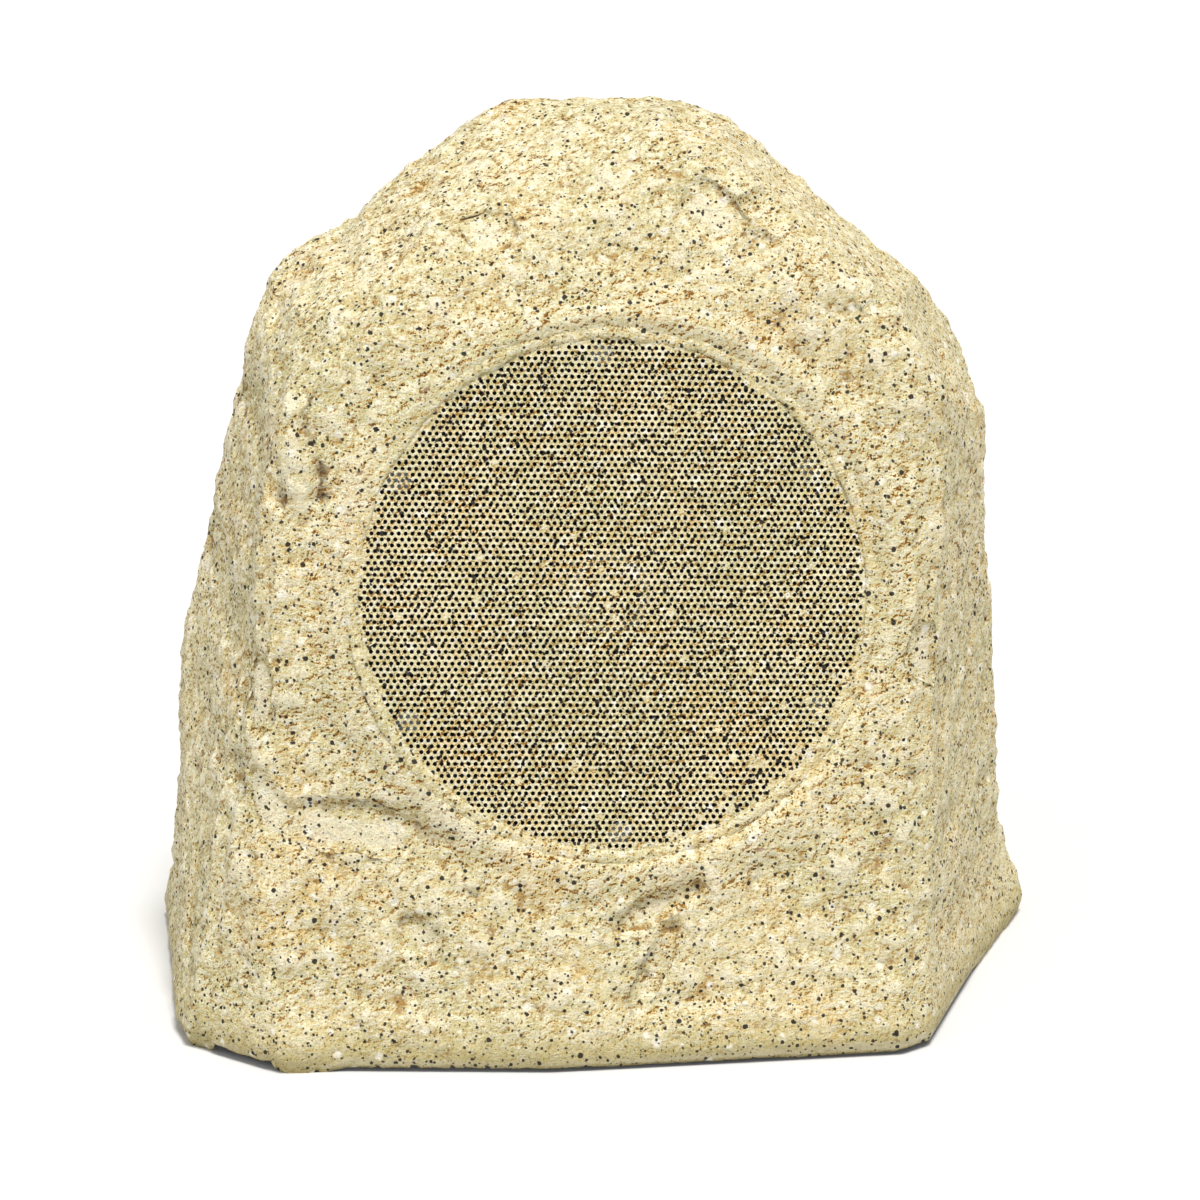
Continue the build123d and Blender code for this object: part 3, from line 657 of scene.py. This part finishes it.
# Each mark: from (x, z) to (x, z) on the front, half width, depth, and whether its upper lip is sharp
MARKS = [
    ((-117, 81), (-92, 83), 13, 3.6, True),
    ((-92, 83), (-64, 74), 10, 2.6, True),
    ((-131, 88), (-113, 73), 6, 2.6, False),
    ((-133, 150), (-128, 129), 7, 2.6, False),
    ((-128, 129), (-122, 106), 8, 3.0, False),
    ((-130, 96), (-126, 86), 8, 2.6, False),
    ((-75, 46), (-70, 38), 8, 2.4, False),
    ((-12, 43), (16, 55), 3.5, 2.2, False),
    ((6, 42), (-7, 17), 3.5, 2.0, False),
    ((-88, 11), (-62, 6), 4, 1.6, True),
    ((-34, 9), (-17, 8), 4, 1.4, True),
    ((34, 13), (58, 11), 4, 1.6, True),
    ((-60, 58), (-36, 50), 5, 1.4, True),
    ((22, 263), (40, 250), 12, 2.2, False),
    ((-58, 262), (-40, 250), 12, 2.2, False),
    ((70, 60), (84, 84), 7, 1.5, False),
    ((-102, 204), (-98, 176), 6, 2.4, False),
    ((-122, 196), (-112, 174), 6, 2.4, False),
]
on_the_front = normals @ np.array(FRONT_WAY) > FRONT_LEAST
mark_share = MARK_CALM_LEAST + (1 - MARK_CALM_LEAST) * calm
for start, end, half, deep, sharp in MARKS:
    a = np.array(start) * MM
    b = np.array(end) * MM
    run = b - a
    spot = points[:, (0, 2)] - a
    along = np.clip(spot @ run / (run @ run), 0, 1)
    off = spot - along[:, None] * run
    gap = np.hypot(off[:, 0], off[:, 1]) / (half * MM)
    shape = np.exp(-(gap ** 2) * MARK_FALL)
    if sharp:
        shape *= ramp(-off[:, 1], *SHARP_LIP)
    carved += np.where(on_the_front, deep * MM * shape * mark_share, 0.0)

# Round the gland the skin stands proud, so the intersection leaves the shell's own seat for it.
# The band round the grille is where the washes and the painted shade under bumps lie thickest.
seat = np.where(at_gland, 1 - ramp(gland_r, *GLAND_SEAT), 0.0)
carved -= seat * (LEAST_DEPTH + GLAND_PROUD)
band = np.where(front, ramp(radius, *BAND_IN) * (1 - ramp(radius, *BAND_OUT)), 0.0)

for name, values in {"calm": calm, "carved": carved, "room": room, "band": band}.items():
    layer = skin.data.attributes.new(name, "FLOAT", "POINT")
    layer.data.foreach_set("value", values.astype(np.float32))
print("marks:", len(MARKS), "deepest", round(float(carved.max() / MM), 2), "mm")

# %% [markdown]
# ## Weathering as a node tree
# Rock wears at several scales at once: slow swells, thumb-sized lumps, shallow chips and coarse grit.
# Each is a noise of its own size and depth, so a node tree with named inputs says it best, and the
# same tree could weather another boulder. The tree also keeps how far each point lies below its
# neighbours, because paint washes gather in such hollows.


# %% Start and run a tree with named inputs
def new_tree(name, numbers, materials):
    """A geometry tree with named inputs for numbers and materials."""
    tree = bpy.data.node_groups.new(name, "GeometryNodeTree")
    tree.interface.new_socket("Geometry", in_out="INPUT", socket_type="NodeSocketGeometry")
    for key in numbers:
        tree.interface.new_socket(key, in_out="INPUT", socket_type="NodeSocketFloat")
    for key in materials:
        tree.interface.new_socket(key, in_out="INPUT", socket_type="NodeSocketMaterial")
    tree.interface.new_socket("Geometry", in_out="OUTPUT", socket_type="NodeSocketGeometry")
    return tree


def run_tree(piece, tree, values):
    """Runs a tree on a piece, with its inputs set by identifier, and freezes the result."""
    tool = piece.modifiers.new(tree.name, "NODES")
    tool.node_group = tree
    for item in tree.interface.items_tree:
        if item.in_out == "INPUT" and item.name in values:
            tool[item.identifier] = values[item.name]
    applied(piece)


WEATHERING = {
    "Swell size": 62 * MM, "Swell depth": 1.2 * MM,
    "Lump size": 26 * MM, "Lump depth": 1.5 * MM,
    "Chip size": 13 * MM, "Chip depth": 1.1 * MM,
    "Grit size": 7 * MM, "Grit depth": 1.4 * MM,
    "Break size": 9 * MM,
}
relief = new_tree("stone_weathering", WEATHERING, ["Stone"])
given = put(relief, "NodeGroupInput")
print("weathering inputs:", *WEATHERING)

# %% Weathering tree: the depth of wear
# Each scale: detail and roughness of its noise, and the values that become 0 and 1; chips are cells
SCALES = {
    "Swell": ({"Detail": 1.0, "Roughness": 0.4}, 0.32, 0.68),
    "Lump": ({"Detail": 3.0, "Roughness": 0.55}, 0.32, 0.68),
    "Chip": ({"Randomness": 1.0}, 0.05, 0.75),
    "Grit": ({"Detail": 4.0, "Roughness": 0.68}, 0.32, 0.68),
}
place = put(relief, "GeometryNodeInputPosition")
total = None
for scale, (grain, low, high) in SCALES.items():
    often = put(relief, "ShaderNodeMath", {0: 1.0, 1: given.outputs[scale + " size"]}, operation="DIVIDE")
    inputs = {"Vector": place, "Scale": often, **grain}
    if scale == "Chip":
        pattern = put(relief, "ShaderNodeTexVoronoi", inputs, feature="SMOOTH_F1")
    else:
        pattern = put(relief, "ShaderNodeTexNoise", inputs)
    share = put(
        relief, "ShaderNodeMapRange", {"Value": pattern, "From Min": low, "From Max": high},
        interpolation_type="SMOOTHSTEP",
    )
    depth = {0: share, 1: given.outputs[scale + " depth"]}
    depth = put(relief, "ShaderNodeMath", depth, operation="MULTIPLY")
    if total is None:
        total = depth
    else:
        total = put(relief, "ShaderNodeMath", {0: total, 1: depth}, operation="ADD")

kept = {}
for name in ("calm", "carved", "room"):
    kept[name] = put(relief, "GeometryNodeInputNamedAttribute", {"Name": name}, data_type="FLOAT")
total = put(relief, "ShaderNodeMath", {0: total, 1: kept["calm"]}, operation="MULTIPLY")
often = put(relief, "ShaderNodeMath", {0: 1.0, 1: given.outputs["Break size"]}, operation="DIVIDE")
broken = put(
    relief, "ShaderNodeTexNoise", {"Vector": place, "Scale": often, "Detail": 3.0, "Roughness": 0.65},
)
broken = put(
    relief, "ShaderNodeMapRange",
    {"Value": broken, "From Min": 0.35, "From Max": 0.65, "To Min": 0.35, "To Max": 1.2},
)
struck = put(relief, "ShaderNodeMath", {0: kept["carved"], 1: broken}, operation="MULTIPLY")
total = put(relief, "ShaderNodeMath", {0: total, 1: struck}, operation="ADD")
total = put(relief, "ShaderNodeMath", {0: total, 1: kept["room"]}, operation="MINIMUM")
print("scales of wear:", *SCALES)

# %% Weathering tree: keep the hollows, move the skin
HOLLOW_REACH = 14
around = put(
    relief, "GeometryNodeBlurAttribute", {"Value": total, "Iterations": HOLLOW_REACH}, data_type="FLOAT",
)
hollow = put(relief, "ShaderNodeMath", {0: total, 1: around}, operation="SUBTRACT")
hollow = put(relief, "ShaderNodeMath", {0: hollow, 1: 1.0 / MM}, operation="MULTIPLY")
marked = put(
    relief, "GeometryNodeStoreNamedAttribute",
    {"Geometry": given.outputs["Geometry"], "Name": "hollow", "Value": hollow},
    data_type="FLOAT", domain="POINT",
)
inward = put(relief, "ShaderNodeMath", {0: total, 1: -1.0}, operation="MULTIPLY")
way = put(relief, "GeometryNodeInputNormal")
shift = put(relief, "ShaderNodeVectorMath", {0: way, "Scale": inward}, operation="SCALE")
moved = put(relief, "GeometryNodeSetPosition", {"Geometry": marked, "Offset": shift})
whole = put(relief, "GeometryNodeRealizeInstances", {"Geometry": moved})
sprayed = put(relief, "GeometryNodeSetMaterial", {"Geometry": whole, "Material": given.outputs["Stone"]})
put(relief, "NodeGroupOutput", {"Geometry": sprayed})
run_tree(skin, relief, {**WEATHERING, "Stone": stone})
print("weathered:", len(skin.data.vertices), "points by", len(relief.nodes), "nodes")

# %% Intersect with the shell, so the inside stays as built
SHARP_STONE = math.radians(50)


def triangulate(mesh):
    """Splits all faces of a mesh into triangles."""
    bm = bmesh.new()
    bm.from_mesh(mesh)
    bmesh.ops.triangulate(bm, faces=bm.faces)
    bm.to_mesh(mesh)
    bm.free()


triangulate(skin.data)
fit = skin.modifiers.new("keep_inside", "BOOLEAN")
fit.operation = "INTERSECT"
fit.solver = "MANIFOLD"
fit.object = shell
shell.hide_viewport = False
applied(skin)
bpy.data.objects.remove(shell)
triangulate(skin.data)
skin.data.shade_smooth()
skin.data.set_sharp_from_angle(angle=SHARP_STONE)
coated(skin, stone)
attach(skin, "cabinet")
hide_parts("rock_shell")
print("stone shell:", counted(skin.data))

# %% [markdown]
# ## The bead of filler round the sheet
# The sheet is set in the rock with a line of stone filler, smoothed with a finger and sprayed with the
# rest, so its edge and the gap round it don't show. The bead is a flattened tube that wavers a little
# and has small lumps. That is a rule, so a node tree makes it.

# %% Bead tree
BEAD = {
    "Ring radius": 81.3 * MM, "Half width": 2.1 * MM, "Flatness": 0.4,
    "Waver": 3.0 * MM, "Waver size": 15 * MM, "Lump": 1.1 * MM, "Lump size": 4 * MM,
}
BEAD_STEPS = 420
BEAD_SIDES = 12
bead_tree = new_tree("filler_bead", BEAD, ["Filler"])
given = put(bead_tree, "NodeGroupInput")
place = put(bead_tree, "GeometryNodeInputPosition")
clouds = {}
for name in ("Waver", "Lump"):
    often = put(bead_tree, "ShaderNodeMath", {0: 1.0, 1: given.outputs[name + " size"]}, operation="DIVIDE")
    clouds[name] = put(bead_tree, "ShaderNodeTexNoise", {"Vector": place, "Scale": often, "Detail": 2.0})

line, section = [
    put(bead_tree, "GeometryNodeCurvePrimitiveCircle", {"Resolution": steps, "Radius": given.outputs[size]})
    for steps, size in ((BEAD_STEPS, "Ring radius"), (BEAD_SIDES, "Half width"))
]
waver = {0: clouds["Waver"].outputs["Color"], 1: (0.5, 0.5, 0.5)}
waver = put(bead_tree, "ShaderNodeVectorMath", waver, operation="SUBTRACT")
waver = put(bead_tree, "ShaderNodeVectorMath", {0: waver, "Scale": given.outputs["Waver"]}, operation="SCALE")
line = put(bead_tree, "GeometryNodeSetPosition", {"Geometry": line, "Offset": waver})
flat = put(bead_tree, "ShaderNodeCombineXYZ", {0: 1.0, 1: given.outputs["Flatness"], 2: 1.0})
section = put(bead_tree, "GeometryNodeTransform", {"Geometry": section, "Scale": flat})
tube = put(bead_tree, "GeometryNodeCurveToMesh", {"Curve": line, "Profile Curve": section})
lump = put(bead_tree, "ShaderNodeMath", {0: clouds["Lump"], 1: 0.5}, operation="SUBTRACT")
lump = put(bead_tree, "ShaderNodeMath", {0: lump, 1: given.outputs["Lump"]}, operation="MULTIPLY")
way = put(bead_tree, "GeometryNodeInputNormal")
lump = put(bead_tree, "ShaderNodeVectorMath", {0: way, "Scale": lump}, operation="SCALE")
tube = put(bead_tree, "GeometryNodeSetPosition", {"Geometry": tube, "Offset": lump})
whole = put(bead_tree, "GeometryNodeRealizeInstances", {"Geometry": tube})
filled = put(bead_tree, "GeometryNodeSetMaterial", {"Geometry": whole, "Material": given.outputs["Filler"]})
put(bead_tree, "NodeGroupOutput", {"Geometry": filled})
print("bead tree:", len(bead_tree.nodes), "nodes")

# %% Bead
BEAD_DEPTH = 2.9 * MM
bead = new_piece("stone_filler_bead", bmesh.new())
run_tree(bead, bead_tree, {**BEAD, "Filler": stone})
coated(bead, stone)
bead.data.transform(turned_to_axis(BEAD_DEPTH))
bead.data.shade_smooth()
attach(bead, "cabinet")
print("bead:", counted(bead.data))

# %% [markdown]
# ## A plain finish for working parts
# What lies behind the paint needs only a colour that drifts a little and a fine grain that breaks the
# shine. One function makes such a finish, with grains drawn coarser than real ones so that they show.
# The walls of the punched holes are the first to use it.

# %% Working finish
GRAINS_PER_DRIFT = 12
ROUGHNESS_SWING = 0.15
GRAIN_STRENGTH = 0.25
GRAIN_HEIGHT = 0.2


def working_finish(name, code, roughness, metallic, grain, unevenness):
    """A plain finish: a colour that drifts a little, over a grain of this many millimetres."""
    material = blank_material(name)
    tree = material.node_tree
    where = put(tree, "ShaderNodeTexCoord").outputs["Object"]
    drift, fine = [
        put(tree, "ShaderNodeTexNoise", {"Vector": where, "Scale": 1 / (size * MM), "Detail": 3.0})
        for size in (grain * GRAINS_PER_DRIFT, grain)
    ]
    dark = tuple(c * (1 - unevenness) for c in srgb(code)[:3]) + (1.0,)
    colour = put(tree, "ShaderNodeMix", {0: drift, 6: dark, 7: srgb(code)}, data_type="RGBA").outputs[2]
    smoothest = roughness * (1 - ROUGHNESS_SWING)
    roughest = min(1.0, roughness * (1 + ROUGHNESS_SWING))
    rough = put(tree, "ShaderNodeMapRange", {"Value": fine, "To Min": smoothest, "To Max": roughest})
    bump = put(
        tree, "ShaderNodeBump",
        {"Strength": GRAIN_STRENGTH, "Distance": GRAIN_HEIGHT * grain * MM, "Height": fine},
    )
    body = put(
        tree, "ShaderNodeBsdfPrincipled",
        {"Base Color": colour, "Roughness": rough, "Metallic": metallic, "Normal": bump},
    )
    put(tree, "ShaderNodeOutputMaterial", {"Surface": body})
    return material


# Black on the walls of the holes is painted shade that makes each hole read as deep
hole_wall_painted_shade = working_finish("black_painted_shade_in_the_holes", "#101010", 0.7, 0.0, 0.8, 0.3)
print("hole walls:", hole_wall_painted_shade.name)

# %% [markdown]
# ## The perforated sheet
# The grille is a thin steel sheet with some five thousand punched holes, 1.4 mm wide and 2.1 mm apart
# in rows that alternate by half a pitch. The walls of the holes and the back are black, as painted
# shade in the holes, and the front was sprayed together with the rock, so paint has closed some of
# the holes, most of them low on the right. One fill round thousands of circles would take minutes. A
# slanted tile with its hole already cut takes a moment: the tiles are set out in rows and welded at
# their corners, and only the margin out to the round rim is filled.

# %% Grille tree: its inputs and one tile
SHEET = {
    "Hole pitch": 2.1 * MM, "Hole radius": 0.70 * MM, "Field radius": 79.1 * MM,
    "Sheet radius": grille_r, "Sheet": 1.0 * MM, "Rim depth": grille_deep, "Clogged share": 0.008,
}
ROW_LEAN = math.radians(60)
HOLE_SIDES = 7
punch = new_tree("punched_sheet", SHEET, ["Paint", "Hole shade"])
given = put(punch, "NodeGroupInput")
pitch = given.outputs["Hole pitch"]
row_pitch = put(punch, "ShaderNodeMath", {0: pitch, 1: math.sin(ROW_LEAN)}, operation="MULTIPLY")
half_pitch = put(punch, "ShaderNodeMath", {0: pitch, 1: math.cos(ROW_LEAN)}, operation="MULTIPLY")
cell = put(
    punch, "GeometryNodeCurvePrimitiveQuadrilateral",
    {"Width": pitch, "Height": row_pitch, "Offset": half_pitch}, mode="PARALLELOGRAM",
)
hole = put(
    punch, "GeometryNodeCurvePrimitiveCircle",
    {"Resolution": HOLE_SIDES, "Radius": given.outputs["Hole radius"]},
)
cell_and_hole = put(punch, "GeometryNodeJoinGeometry", {0: [cell, hole]})
open_tile = put(punch, "GeometryNodeFillCurve", {"Curve": cell_and_hole})
shut_tile = put(punch, "GeometryNodeFillCurve", {"Curve": cell})
print("tile: a hole of", HOLE_SIDES, "sides")

# %% Grille tree: rows, ragged field and clogged holes
ROWS = 91
COLUMNS = 131
RAGGED_SIZE = 14 * MM
RAGGED_DEPTH = 1.6 * MM
CLOG_START = 85 * MM
CLOG_END = 112 * MM
CLOG_MOST = 0.22
CLOG_SEED = 11

wide = put(punch, "ShaderNodeMath", {0: pitch, 1: COLUMNS - 1.0}, operation="MULTIPLY")
high = put(punch, "ShaderNodeMath", {0: row_pitch, 1: ROWS - 1.0}, operation="MULTIPLY")
grid = put(
    punch, "GeometryNodeMeshGrid",
    {"Size X": wide, "Size Y": high, "Vertices X": COLUMNS, "Vertices Y": ROWS},
)
place = put(punch, "GeometryNodeInputPosition")
spot = put(punch, "ShaderNodeSeparateXYZ", {0: place})
aside = put(punch, "ShaderNodeMath", {0: spot.outputs["Y"], 1: 1 / math.tan(ROW_LEAN)}, operation="MULTIPLY")
lean = put(punch, "ShaderNodeCombineXYZ", {0: aside})
rows = put(punch, "GeometryNodeSetPosition", {"Geometry": grid, "Offset": lean})

out = put(punch, "ShaderNodeVectorMath", {0: place}, operation="LENGTH").outputs["Value"]
ragged = put(punch, "ShaderNodeTexNoise", {"Vector": place, "Scale": 1 / RAGGED_SIZE, "Detail": 2.0})
ragged = put(
    punch, "ShaderNodeMapRange",
    {"Value": ragged, "From Min": 0.35, "From Max": 0.7, "To Max": RAGGED_DEPTH},
)
reach = put(punch, "ShaderNodeMath", {0: out, 1: ragged}, operation="ADD")
beyond = put(
    punch, "FunctionNodeCompare", {0: reach, 1: given.outputs["Field radius"]},
    operation="GREATER_THAN", data_type="FLOAT",
)
field = put(punch, "GeometryNodeDeleteGeometry", {"Geometry": rows, "Selection": beyond}, domain="POINT")

low_right = {0: spot.outputs["X"], 1: spot.outputs["Y"]}
low_right = put(punch, "ShaderNodeMath", low_right, operation="SUBTRACT")
odds = put(
    punch, "ShaderNodeMapRange",
    {"Value": low_right, "From Min": CLOG_START, "From Max": CLOG_END, "To Min": 0.0, "To Max": CLOG_MOST},
)
odds = put(punch, "ShaderNodeMath", {0: odds, 1: given.outputs["Clogged share"]}, operation="ADD")
chance = put(punch, "FunctionNodeRandomValue", {"Seed": CLOG_SEED}, data_type="FLOAT").outputs[1]
clogged = put(punch, "FunctionNodeCompare", {0: chance, 1: odds}, operation="LESS_THAN", data_type="FLOAT")
clear = put(punch, "FunctionNodeBooleanMath", {0: clogged}, operation="NOT")
print("grid:", ROWS, "rows of", COLUMNS)

# %% Grille tree: set the tiles, fill the margin
WELD = 0.01 * MM
RIM_SIDES = 256
all_shut, some_open, some_shut = [
    put(
        punch, "GeometryNodeRealizeInstances",
        {"Geometry": put(
            punch, "GeometryNodeInstanceOnPoints", {"Points": field, "Instance": tile, "Selection": chosen},
        )},
    )
    for tile, chosen in ((shut_tile, True), (open_tile, clear), (shut_tile, clogged))
]
blank = put(punch, "GeometryNodeMergeByDistance", {"Geometry": all_shut, "Distance": WELD})
faces_beside = put(punch, "GeometryNodeInputMeshEdgeNeighbors")
at_border = put(punch, "FunctionNodeCompare", {2: faces_beside, 3: 1}, operation="EQUAL", data_type="INT")
border = put(punch, "GeometryNodeMeshToCurve", {"Mesh": blank, "Selection": at_border})
edge = put(
    punch, "GeometryNodeCurvePrimitiveCircle",
    {"Resolution": RIM_SIDES, "Radius": given.outputs["Sheet radius"]},
)
border_and_edge = put(punch, "GeometryNodeJoinGeometry", {0: [border, edge]})
margin = put(punch, "GeometryNodeFillCurve", {"Curve": border_and_edge})
tiled = put(punch, "GeometryNodeJoinGeometry", {0: [some_open, some_shut, margin]})
sheet = put(punch, "GeometryNodeMergeByDistance", {"Geometry": tiled, "Distance": WELD})
print("rim:", RIM_SIDES, "sides")

# %% Grille tree: thickness and turned-back rim
thickness = given.outputs["Sheet"]
rim_depth = given.outputs["Rim depth"]
drop = put(punch, "ShaderNodeMath", {0: thickness, 1: -1.0}, operation="MULTIPLY")
lower = put(punch, "ShaderNodeCombineXYZ", {2: drop})
under = put(punch, "GeometryNodeTransform", {"Geometry": sheet, "Translation": lower})
lift = put(punch, "ShaderNodeCombineXYZ", {2: thickness})
thick = put(
    punch, "GeometryNodeExtrudeMesh",
    {"Mesh": under, "Offset": lift, "Offset Scale": 1.0, "Individual": False}, mode="FACES",
)
marked = put(
    punch, "GeometryNodeStoreNamedAttribute",
    {"Geometry": thick.outputs["Mesh"], "Name": "sprayed", "Value": thick.outputs["Top"]},
    data_type="BOOLEAN", domain="FACE",
)
back = put(punch, "GeometryNodeFlipFaces", {0: under})
both_sides = put(punch, "GeometryNodeJoinGeometry", {0: [marked, back]})
closed_sheet = put(punch, "GeometryNodeMergeByDistance", {"Geometry": both_sides, "Distance": WELD})

rim_mid = {0: thickness, 1: -0.5, 2: given.outputs["Sheet radius"]}
rim_mid = put(punch, "ShaderNodeMath", rim_mid, operation="MULTIPLY_ADD")
rim_line = put(punch, "GeometryNodeCurvePrimitiveCircle", {"Resolution": RIM_SIDES, "Radius": rim_mid})
skirt = put(punch, "ShaderNodeMath", {0: rim_depth, 1: thickness}, operation="SUBTRACT")
section = put(punch, "GeometryNodeCurvePrimitiveQuadrilateral", {"Width": thickness, "Height": skirt})
rim_tube = put(punch, "GeometryNodeCurveToMesh", {"Curve": rim_line, "Profile Curve": section})
sink = put(punch, "ShaderNodeMath", {0: rim_depth, 1: thickness}, operation="ADD")
sink = put(punch, "ShaderNodeMath", {0: sink, 1: -0.5}, operation="MULTIPLY")
sink = put(punch, "ShaderNodeCombineXYZ", {2: sink})
rim_tube = put(punch, "GeometryNodeTransform", {"Geometry": rim_tube, "Translation": sink})
dish = put(punch, "GeometryNodeJoinGeometry", {0: [closed_sheet, rim_tube]})
print("sheet:", SHEET["Sheet"] / MM, "mm thick")

# %% Grille tree: black painted shade all over, paint on the front
whole = put(punch, "GeometryNodeRealizeInstances", {"Geometry": dish})
shaded_black = put(punch, "GeometryNodeSetMaterial", {"Geometry": whole, "Material": given.outputs["Hole shade"]})
sprayed = put(punch, "GeometryNodeInputNamedAttribute", {"Name": "sprayed"}, data_type="BOOLEAN")
painted = put(
    punch, "GeometryNodeSetMaterial",
    {"Geometry": shaded_black, "Selection": sprayed, "Material": given.outputs["Paint"]},
)
put(punch, "NodeGroupOutput", {"Geometry": painted})
print("grille tree:", len(punch.nodes), "nodes")

# %% Grille
GRILLE_TURN = math.radians(-2.4)
# The same coat as on the rock, so the sheet reads as stone between its holes
grille_paint = stone_finish("sprayed_perforated_steel", 0.9)
grille = new_piece("perforated_grille", bmesh.new())
run_tree(grille, punch, {**SHEET, "Paint": grille_paint, "Hole shade": hole_wall_painted_shade})
for i in reversed(range(len(grille.data.materials))):
    if grille.data.materials[i] is None:
        grille.data.materials.pop(index=i)
grille.data.transform(turned_to_axis(face_gap) @ Matrix.Rotation(GRILLE_TURN, 4, "Z"))
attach(grille, "cabinet")
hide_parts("grille")
print("grille:", counted(grille.data))

# %% [markdown]
# ## What works inside
# Behind the holes sit a black paper cone, its rubber roll, a pale ring round the dome and the motor.
# They keep the shapes of the construction. Each finish is a colour with the drift and the fine
# roughness of its material, which is all that a finger's width of shade lets through.

# %% Working finishes
# Each slot: the material, its colour, roughness, metallic share, grain in mm and unevenness
FINISHES = {
    # Rubber drinks light, so the roll shows only by its edge
    "black_rubber": ("moulded_nitrile_rubber", "#161616", 0.75, 0.0, 0.6, 0.3),
    # Baked enamel keeps a soft shine on pressed steel
    "black_paint": ("baked_black_enamel_on_steel", "#181818", 0.55, 0.0, 0.8, 0.3),
    # Paper pulp is dull and uneven, a dark ground behind the holes
    "cone_paper": ("pressed_black_paper", "#141414", 0.9, 0.0, 0.9, 0.4),
    # Resin turns the cotton a warm tan
    "spider_cloth": ("resin_dipped_cotton", "#B98F4C", 0.9, 0.0, 0.7, 0.3),
    # Rolled aluminium is bright with a satin grain
    "coil_former": ("rolled_aluminium", "#C9CACD", 0.4, 1.0, 0.5, 0.15),
    # Clear lacquer leaves the wire its red glow
    "copper": ("lacquered_copper_wire", "#B8693A", 0.35, 1.0, 0.3, 0.25),
    # Zinc is a cool and even grey
    "zinc_steel": ("zinc_plated_steel", "#B9BBBD", 0.38, 1.0, 0.6, 0.2),
    # Ferrite is a dark, dry ceramic
    "ferrite": ("sintered_ferrite", "#26262A", 0.7, 0.0, 1.2, 0.3),
    # A pale moulding, light enough to show through the perforation
    "grey_plastic": ("moulded_grey_abs", "#B9B9B5", 0.5, 0.0, 0.5, 0.1),
    # Nylon has a low sheen on its corners
    "black_plastic": ("moulded_black_nylon", "#1A1A1A", 0.55, 0.0, 0.6, 0.3),
    # Doped silk is dark and only faintly glossy
    "dome_silk": ("doped_black_silk", "#2B2B2E", 0.7, 0.0, 0.4, 0.3),
    # Solder mask is a clear green film
    "circuit_board": ("green_solder_mask", "#1F5A2A", 0.45, 0.0, 0.8, 0.25),
    # Cast ceramic is chalky
    "white_ceramic": ("cast_white_ceramic", "#DAD8CC", 0.7, 0.0, 0.7, 0.12),
    # A film wrap shines more than what lies round it
    "yellow_film": ("yellow_film_wrap", "#CFA028", 0.3, 0.0, 0.6, 0.15),
    # A plain green moulding
    "green_plastic": ("moulded_green_nylon", "#22693C", 0.5, 0.0, 0.6, 0.2),
}
made_finishes = {slot: working_finish(*values) for slot, values in FINISHES.items()}
slot_of = {row["node"]: row["material_slot"] for row in frame["record"]["subparts"]}
for name, piece in nodes.items():
    if slot_of[name] in made_finishes:
        coated(piece, made_finishes[slot_of[name]])
print("finishes:", len(made_finishes))

# %% [markdown]
# ## The two parts that flex
# The rubber roll and the corrugated spider are fixed outside and move with the cone inside. Each is
# copied as a smooth ring in place of its node.

# %% Flexing rings
SHARP_RING = math.radians(40)


def flexing_ring(name, node):
    """A smooth copy of a node, with its finish, in place of the node."""
    ring = new_piece(name, merged_copy(node))
    ring.data.materials.append(made_finishes[slot_of[node]])
    ring.data.shade_smooth()
    ring.data.set_sharp_from_angle(angle=SHARP_RING)
    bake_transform(ring)
    spots, _ = read_points(ring.data)
    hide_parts(node)
    return ring


# Each ring: its node, and the radii where it follows the cone and the cabinet
RINGS = {
    "rubber_surround": ("woofer_surround", 57 * MM, 65 * MM),
    "cloth_spider": ("woofer_spider", 16 * MM, 35 * MM),
}
for name, (node, inner, outer) in RINGS.items():
    ring = flexing_ring(name, node)
    print("flexing:", ring.name, "with", len(ring.data.vertices), "points")
